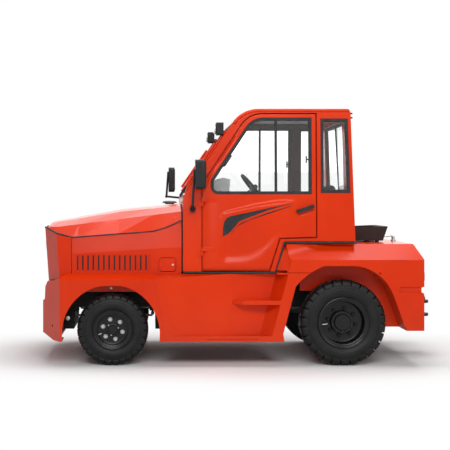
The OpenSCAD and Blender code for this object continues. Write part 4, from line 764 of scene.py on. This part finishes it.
def makeLampFaces():
    bezels, lenses = bmesh.new(), bmesh.new()
    x, y, z = lampFace["spot"]
    for side in handSide.values():
        for shape, (radius, length) in ((bezels, lampFace["bezel"]), (lenses, lampFace["lens"])):
            addRod(shape, (x, side * y, z), (x + length, side * y, z), radius, 40, radius * lampFace["taper"])
    sharpEdges(fromBmesh("lampBezels", bezels, "grille_black", nodeBody["work_lamps"]), "bolt")
    sharpEdges(fromBmesh("lampLenses", lenses, "lamp_clear", nodeBody["work_lamps"]), "bolt")


makeHeadliner()
makeMirrorShells()
makeLampFaces()
makeInsideMirror()
makeCabFittings()
for hand, side in handSide.items():
    makeLatch(hand, side)
print("cab fittings made")


# Seat cushions: swollen by a short cloth run, then sewn

seatPad = {
    "cushion": ((-0.697, -0.230, 1.122), (-0.373, 0.230, 1.217)),
    "back": [(-0.772, 1.124), (-0.716, 1.124), (-0.744, 1.494), (-0.776, 1.507), (-0.818, 1.502),
             (-0.826, 1.440)],
    "backHalf": 0.220, "voxel": 0.008, "pressure": 4.0, "frames": 20, "cap": 0.018,
    "seamAt": 0.105, "seamWidth": 0.011, "seamDepth": 0.008, "seamFacing": 0.2, "fill": 0.8,
}


def swell(pad):
    # one cloth run under pressure, with each point's travel capped
    settings = seatPad
    scene = bpy.context.scene
    start = [v.co.copy() for v in pad.data.vertices]
    cloth = pad.modifiers.new("swell", "CLOTH")
    cloth.settings.use_pressure = True
    cloth.settings.uniform_pressure_force = settings["pressure"]
    cloth.settings.effector_weights.gravity = 0.0
    for number in range(1, settings["frames"] + 1):
        scene.frame_set(number)
    grown = pad.evaluated_get(bpy.context.evaluated_depsgraph_get()).to_mesh()
    ends = [v.co.copy() for v in grown.vertices]
    pad.modifiers.remove(cloth)
    scene.frame_set(1)
    floor = settings["cushion"][0][2]
    for v, rest, end in zip(pad.data.vertices, start, ends):
        travel = end - rest
        if travel.length > settings["cap"]:
            travel *= settings["cap"] / travel.length
        v.co = rest + travel
        v.co.z = max(v.co.z, floor)


def sewChannels(pad):
    settings = seatPad
    normals = [v.normal.copy() for v in pad.data.vertices]
    for v, normal in zip(pad.data.vertices, normals):
        gap = abs(abs(v.co.y) - settings["seamAt"])
        if max(normal.x, normal.z) > settings["seamFacing"]:
            v.co -= normal * settings["seamDepth"] * math.exp(-(gap / settings["seamWidth"]) ** 2)


def makeSeat():
    settings = seatPad
    shape = bmesh.new()
    addBox(shape, *settings["cushion"])
    back = shape.faces.new([shape.verts.new((x, -settings["backHalf"], z)) for x, z in settings["back"]])
    pulled = bmesh.ops.extrude_face_region(shape, geom=[back])["geom"]
    bmesh.ops.translate(shape, verts=[v for v in pulled if isinstance(v, bmesh.types.BMVert)],
                        vec=(0, 2 * settings["backHalf"], 0))
    bmesh.ops.recalc_face_normals(shape, faces=shape.faces)
    block = fromBmesh("seatBlock", shape, "seat_vinyl", nodeBody["seat_cushions"])
    remesh = block.modifiers.new("voxels", "REMESH")
    remesh.mode = "VOXEL"
    remesh.voxel_size = settings["voxel"]
    mesh = bpy.data.meshes.new_from_object(block.evaluated_get(bpy.context.evaluated_depsgraph_get()))
    bpy.data.objects.remove(block)
    mesh.name = "seatCushions"
    for face in mesh.polygons:
        face.use_smooth = True
    pad = place(bpy.data.objects.new("seatCushions", mesh), nodeBody["seat_cushions"])
    swell(pad)
    sewChannels(pad)
    smooth = pad.modifiers.new("round", "SUBSURF")
    smooth.levels = smooth.render_levels = 1
    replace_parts(pad, "seat_cushions")


makeSeat()
print("seat made")


# Wheels

def offsetPoint(centre, side, radius, out, turn=0.0):
    # a point in a wheel's own measure, turn seen from the outside of the left wheel
    x, y, z = centre
    return Vector((x - radius * math.cos(turn), y + side * out, z + radius * math.sin(turn)))


def spinProfile(shape, centre, side, profile, steps):
    # a closed outline of radius and offset in millimetres, turned round the axle
    verts = [shape.verts.new(offsetPoint(centre, side, r / 1000, out / 1000)) for r, out in profile]
    edges = [shape.edges.new(pair) for pair in zip(verts, verts[1:] + verts[:1])]
    bmesh.ops.spin(shape, geom=verts + edges, cent=centre, axis=(0, 1, 0), angle=math.tau, steps=steps,
                   use_merge=True)
    bmesh.ops.remove_doubles(shape, verts=shape.verts, dist=0.00003)


# hub and gap in metres, profiles and fittings in millimetres, turns in degrees
wheelSpecs = {
    "front": {
        "hub": (1.098, 0.630, 0.295), "lugs": 28, "gap": 0.0105,
        "carcass": [(138, 70), (158, 71), (168, 76), (176, 82), (188, 88), (204, 89.8), (218, 89.2),
                    (225, 88.2), (227, 86.8), (229, 88.6), (231, 88.4), (244, 86.4), (252, 84), (262, 78),
                    (274, 64), (279, 40), (279, 0)],
        "lug": [(295, 11), (294.6, 44), (291, 66), (284, 76.5), (270, 83.4), (256, 86.6), (249, 84),
                (262, 62), (274, 11)],
        "rim": [(160, 73), (163, 76), (162.5, 80), (159, 82.5), (155, 82), (151, 79), (148, 77),
                (145, 76.5), (134, 74.5), (129, 72), (127, 67), (127, 42), (124, 36.5), (118, 34),
                (62, 34), (58.5, 35), (57.5, 46), (54, 50), (43, 50), (40.5, 51.5), (39, 56), (38, 63),
                (35, 66), (0, 66.4), (0, 37), (25.5, 37), (25.5, -30), (58, -30), (58, 22), (116, 22),
                (126, 20), (130, 12), (130, -72), (134, -79), (151, -79), (151, -72), (137.6, -71.5),
                (137.6, 71.5)],
        "nuts": {"count": 6, "first": 45, "ring": 84, "face": 34, "size": 16, "height": 21,
                 "slot": "zinc_steel"},
        "rivets": {"count": 6, "first": 15, "ring": 100, "face": 34, "size": 5, "height": 4,
                   "slot": "rim_black"},
        "screws": {"count": 3, "first": 15, "ring": 48.5, "face": 50, "size": 5.5, "height": 9,
                   "slot": "zinc_steel"},
        "valve": {"turn": 200, "ring": 118, "out": 44},
    },
    "rear": {
        "hub": (-0.802, 0.625, 0.353), "lugs": 27, "gap": 0.0115,
        "carcass": [(196, 86), (206, 87), (216, 93), (228, 102), (246, 108), (266, 109.3), (281, 108.6),
                    (286, 107.4), (288, 105.8), (290, 107.8), (293, 107.6), (300, 106), (308, 102),
                    (320, 92), (331, 74), (335, 48), (335, 0)],
        "lug": [(353, 14), (352.4, 56), (348.5, 83), (340, 94.5), (322, 102.6), (304, 105.6), (296, 103),
                (314, 76), (329, 14)],
        "rim": [(206, 88.6), (209, 92), (208, 96.5), (204, 98), (199, 96), (195, 92), (191, 91.2),
                (181, 90), (176, 87), (174, 81), (173, 4), (168, -3), (160, -6), (96, -6), (94.5, -4),
                (93.5, 34), (90, 40), (71, 40), (69, 42), (68, 56), (64, 61.4), (0, 62), (0, 27),
                (45.5, 27), (45.5, -56), (94, -56), (94, -20), (178, -20), (187, -24), (187, -84),
                (190, -94.5), (209, -94.5), (209, -88), (195.6, -87), (195.6, 87)],
        "nuts": {"count": 8, "first": 34, "ring": 114, "face": -6, "size": 15, "height": 21,
                 "slot": "rim_black"},
        "rivets": {"count": 5, "first": 12, "ring": 182, "face": 90, "size": 2.2, "height": 4,
                   "slot": "rim_black"},
        "screws": {"count": 10, "first": 18, "ring": 80.5, "face": 40, "size": 6.5, "height": 9,
                   "slot": "cast_iron"},
        "valve": {"turn": 187, "ring": 142, "out": 30},
    },
}
wheelSteps = {"tyre": 112, "rim": 96}
lugBlock = {"steps": 3, "sharp": math.radians(35), "round": 0.0022}


def lugRow(shape, spec, centre, side, half, shift):
    # one shoulder block swept along the tread, rounded, then copied round the wheel
    row = bmesh.new()
    radius = spec["lug"][0][0] / 1000
    pitch = math.tau / spec["lugs"]
    arc = pitch - spec["gap"] / radius
    turn = shift * pitch
    face = row.faces.new([row.verts.new(offsetPoint(centre, side, r / 1000, half * out / 1000, turn))
                          for r, out in spec["lug"]])
    bmesh.ops.spin(row, geom=[face] + list(face.edges) + list(face.verts), cent=centre, axis=(0, 1, 0),
                   angle=arc, steps=lugBlock["steps"])
    bmesh.ops.recalc_face_normals(row, faces=row.faces)
    rims = [e for e in row.edges if len(e.link_faces) == 2 and e.calc_face_angle(0) > lugBlock["sharp"]]
    roundEdges(row, rims, lugBlock["round"], 2)
    bmesh.ops.spin(row, geom=list(row.faces) + list(row.edges) + list(row.verts), cent=centre, axis=(0, 1, 0),
                   angle=math.tau - pitch, steps=spec["lugs"] - 1, use_duplicate=True)
    block = bpy.data.meshes.new("lugRow")
    row.to_mesh(block)
    row.free()
    shape.from_mesh(block)
    bpy.data.meshes.remove(block)


def boltRing(name, body, centre, side, ring):
    sunk = 0.0005
    shape = bmesh.new()
    for i in range(ring["count"]):
        turn = math.radians(ring["first"] + 360 / ring["count"] * i)
        spot = offsetPoint(centre, side, ring["ring"] / 1000, ring["face"] / 1000 - sunk, turn)
        hexNut(shape, spot, side, ring["size"] / 1000, ring["height"] / 1000)
    sharpEdges(fromBmesh(name, shape, ring["slot"], body), "bolt")


# length, foot radius, top radius and corners of stem, collar and cap
valveParts = ((0.030, 0.0045, 0.0042, 16), (0.012, 0.0058, 0.0058, 6), (0.011, 0.0048, 0.0040, 16))


def valveStem(name, body, centre, side, valve):
    overlap = 0.001
    shape = bmesh.new()
    reach = valve["ring"] / 1000 + valveParts[0][0]
    turn = math.radians(valve["turn"])
    for length, low, high, corners in valveParts:
        middle = offsetPoint(centre, side, reach - length / 2, valve["out"] / 1000, turn)
        inward = offsetPoint(centre, side, 0, valve["out"] / 1000) - middle
        lean = inward.to_track_quat("Z", "Y").to_matrix().to_4x4()
        bmesh.ops.create_cone(shape, cap_ends=True, segments=corners, radius1=low, radius2=high, depth=length,
                              matrix=Matrix.Translation(middle) @ lean)
        reach -= length - overlap
    sharpEdges(fromBmesh(name, shape, "zinc_steel", body), "bolt")


def makeWheel(axle, hand, side):
    spec = wheelSpecs[axle]
    label = axle + hand.capitalize()
    body = f"{axle}_{hand}_wheel"
    x, y, z = spec["hub"]
    centre = Vector((x, side * y, z))
    tyre = bmesh.new()
    half = spec["carcass"]
    whole = half + [(r, -out) for r, out in reversed(half[:-1])]
    spinProfile(tyre, centre, side, whole, wheelSteps["tyre"])
    lugRow(tyre, spec, centre, side, 1, 0.0)
    lugRow(tyre, spec, centre, side, -1, 0.5)
    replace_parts(sharpEdges(fromBmesh(label + "Tyre", tyre, "tyre", body), "soft"), f"{axle}_{hand}_tyre")
    rim = bmesh.new()
    spinProfile(rim, centre, side, spec["rim"], wheelSteps["rim"])
    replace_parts(sharpEdges(fromBmesh(label + "Rim", rim, "rim_black", body), "rim"), f"{axle}_{hand}_rim")
    for ring in ("nuts", "rivets", "screws"):
        boltRing(label + ring.capitalize(), body, centre, side, spec[ring])
    valveStem(label + "Valve", body, centre, side, spec["valve"])


for axle in wheelSpecs:
    for hand, side in handSide.items():
        makeWheel(axle, hand, side)
print("wheels made")


# Floor, light and camera

def seenDirectly(tree):
    # camera, mirror and glass rays, which see the plain background
    path = tree.nodes.new("ShaderNodeLightPath")
    mirrored = combine(tree, "MAXIMUM", path.outputs["Is Camera Ray"], path.outputs["Is Glossy Ray"])
    return combine(tree, "MAXIMUM", mirrored, path.outputs["Is Transmission Ray"])


paleFloor = {"half": 40.0, "tone": (0.84, 0.84, 0.84), "rough": 0.9, "stretch": (0.55, 1.0, 0.0),
             "near": 0.95, "far": 1.9}


def makeFloorFinish():
    mat, tree, shader = startMaterial("paleFloor")
    shader.inputs["Base Color"].default_value = (*paleFloor["tone"], 1.0)
    shader.inputs["Roughness"].default_value = paleFloor["rough"]
    bumpFrom(tree, shader, objectNoise(tree, 30.0, detail=3.0), strength=0.02, distance=0.0005)
    # the floor fades to plain white away from the shadow, for the eye, mirrors and glass
    coords = tree.nodes.new("ShaderNodeTexCoord")
    oval = tree.nodes.new("ShaderNodeVectorMath")
    oval.operation = "MULTIPLY"
    oval.inputs[1].default_value = paleFloor["stretch"]
    tree.links.new(coords.outputs["Object"], oval.inputs[0])
    reach = tree.nodes.new("ShaderNodeVectorMath")
    reach.operation = "LENGTH"
    tree.links.new(oval.outputs["Vector"], reach.inputs[0])
    fade = addNode(tree, "ShaderNodeMapRange", From_Min=paleFloor["near"], From_Max=paleFloor["far"])
    fade.interpolation_type = "SMOOTHSTEP"
    tree.links.new(reach.outputs["Value"], fade.inputs["Value"])
    white = addNode(tree, "ShaderNodeEmission", Strength=1.0)
    blend = tree.nodes.new("ShaderNodeMixShader")
    tree.links.new(combine(tree, "MULTIPLY", seenDirectly(tree), fade.outputs["Result"]), blend.inputs["Fac"])
    tree.links.new(shader.outputs["BSDF"], blend.inputs[1])
    tree.links.new(white.outputs["Emission"], blend.inputs[2])
    tree.links.new(blend.outputs["Shader"], tree.nodes["Material Output"].inputs["Surface"])
    return mat


def makeStage():
    shape = bmesh.new()
    bmesh.ops.create_grid(shape, x_segments=1, y_segments=1, size=paleFloor["half"])
    mesh = bpy.data.meshes.new("floor")
    shape.to_mesh(mesh)
    shape.free()
    floor = bpy.data.objects.new("floor", mesh)
    bpy.context.scene.collection.objects.link(floor)
    mesh.materials.append(makeFloorFinish())


lamps = {
    "topSoftbox": {"spot": (-0.2, -0.4, 5.2), "target": (-0.2, -0.2, 0.0),
                   "size": (4.6, 4.0), "watts": 265.0},
    "sideSoftbox": {"spot": (0.5, 7.2, 4.7), "target": (0.2, 0.0, 1.0),
                    "size": (5.0, 2.2), "watts": 335.0},
    "lowStrip": {"spot": (1.3, 8.0, 2.15), "target": (1.0, 0.6, 1.0),
                 "size": (2.4, 0.45), "watts": 28.0},
    "rightSoftbox": {"spot": (0.5, -8.0, 4.6), "target": (0.2, 0.0, 1.0),
                     "size": (10.0, 6.0), "watts": 150.0},
    "rearSoftbox": {"spot": (-4.2, 3.6, 2.8), "target": (-0.6, 0.0, 0.9),
                    "size": (2.4, 2.4), "watts": 40.0},
}


def areaLamp(name, spot, target, size, watts):
    lamp = bpy.data.lights.new(name, "AREA")
    lamp.shape = "RECTANGLE"
    lamp.size, lamp.size_y = size
    lamp.energy = watts
    obj = bpy.data.objects.new(name, lamp)
    obj.location = spot
    obj.rotation_euler = (Vector(target) - Vector(spot)).to_track_quat("-Z", "Y").to_euler()
    bpy.context.scene.collection.objects.link(obj)


studioWorld = {"lighting": 0.12, "seen": 1.0}


def makeWorld():
    world = bpy.data.worlds.new("studio")
    bpy.context.scene.world = world
    world.use_nodes = True
    tree = world.node_tree
    background = tree.nodes["Background"]
    level = addNode(tree, "ShaderNodeMapRange", To_Min=studioWorld["lighting"], To_Max=studioWorld["seen"])
    tree.links.new(seenDirectly(tree), level.inputs["Value"])
    background.inputs["Color"].default_value = (1.0, 1.0, 1.0, 1.0)
    tree.links.new(level.outputs["Result"], background.inputs["Strength"])


photoView = {"spot": (0.7735, 9.0, 1.373), "focalPx": 1007.0, "axisPx": (152.0, 199.0), "framePx": 450.0,
             "sensor": 36.0}


def makeCamera():
    view = photoView
    lens = bpy.data.cameras.new("camera")
    lens.sensor_width = view["sensor"]
    lens.lens = view["sensor"] * view["focalPx"] / view["framePx"]
    lens.shift_x = (view["framePx"] / 2 - view["axisPx"][0]) / view["framePx"]
    lens.shift_y = -(view["framePx"] / 2 - view["axisPx"][1]) / view["framePx"]
    camera = bpy.data.objects.new("camera", lens)
    camera.location = view["spot"]
    camera.rotation_euler = (math.radians(90.0), 0.0, math.radians(180.0))
    bpy.context.scene.collection.objects.link(camera)
    bpy.context.scene.camera = camera


makeStage()
makeWorld()
makeCamera()
for name, lamp in lamps.items():
    areaLamp(name, **lamp)
bpy.context.scene.view_settings.view_transform = "Standard"
print("stage set")
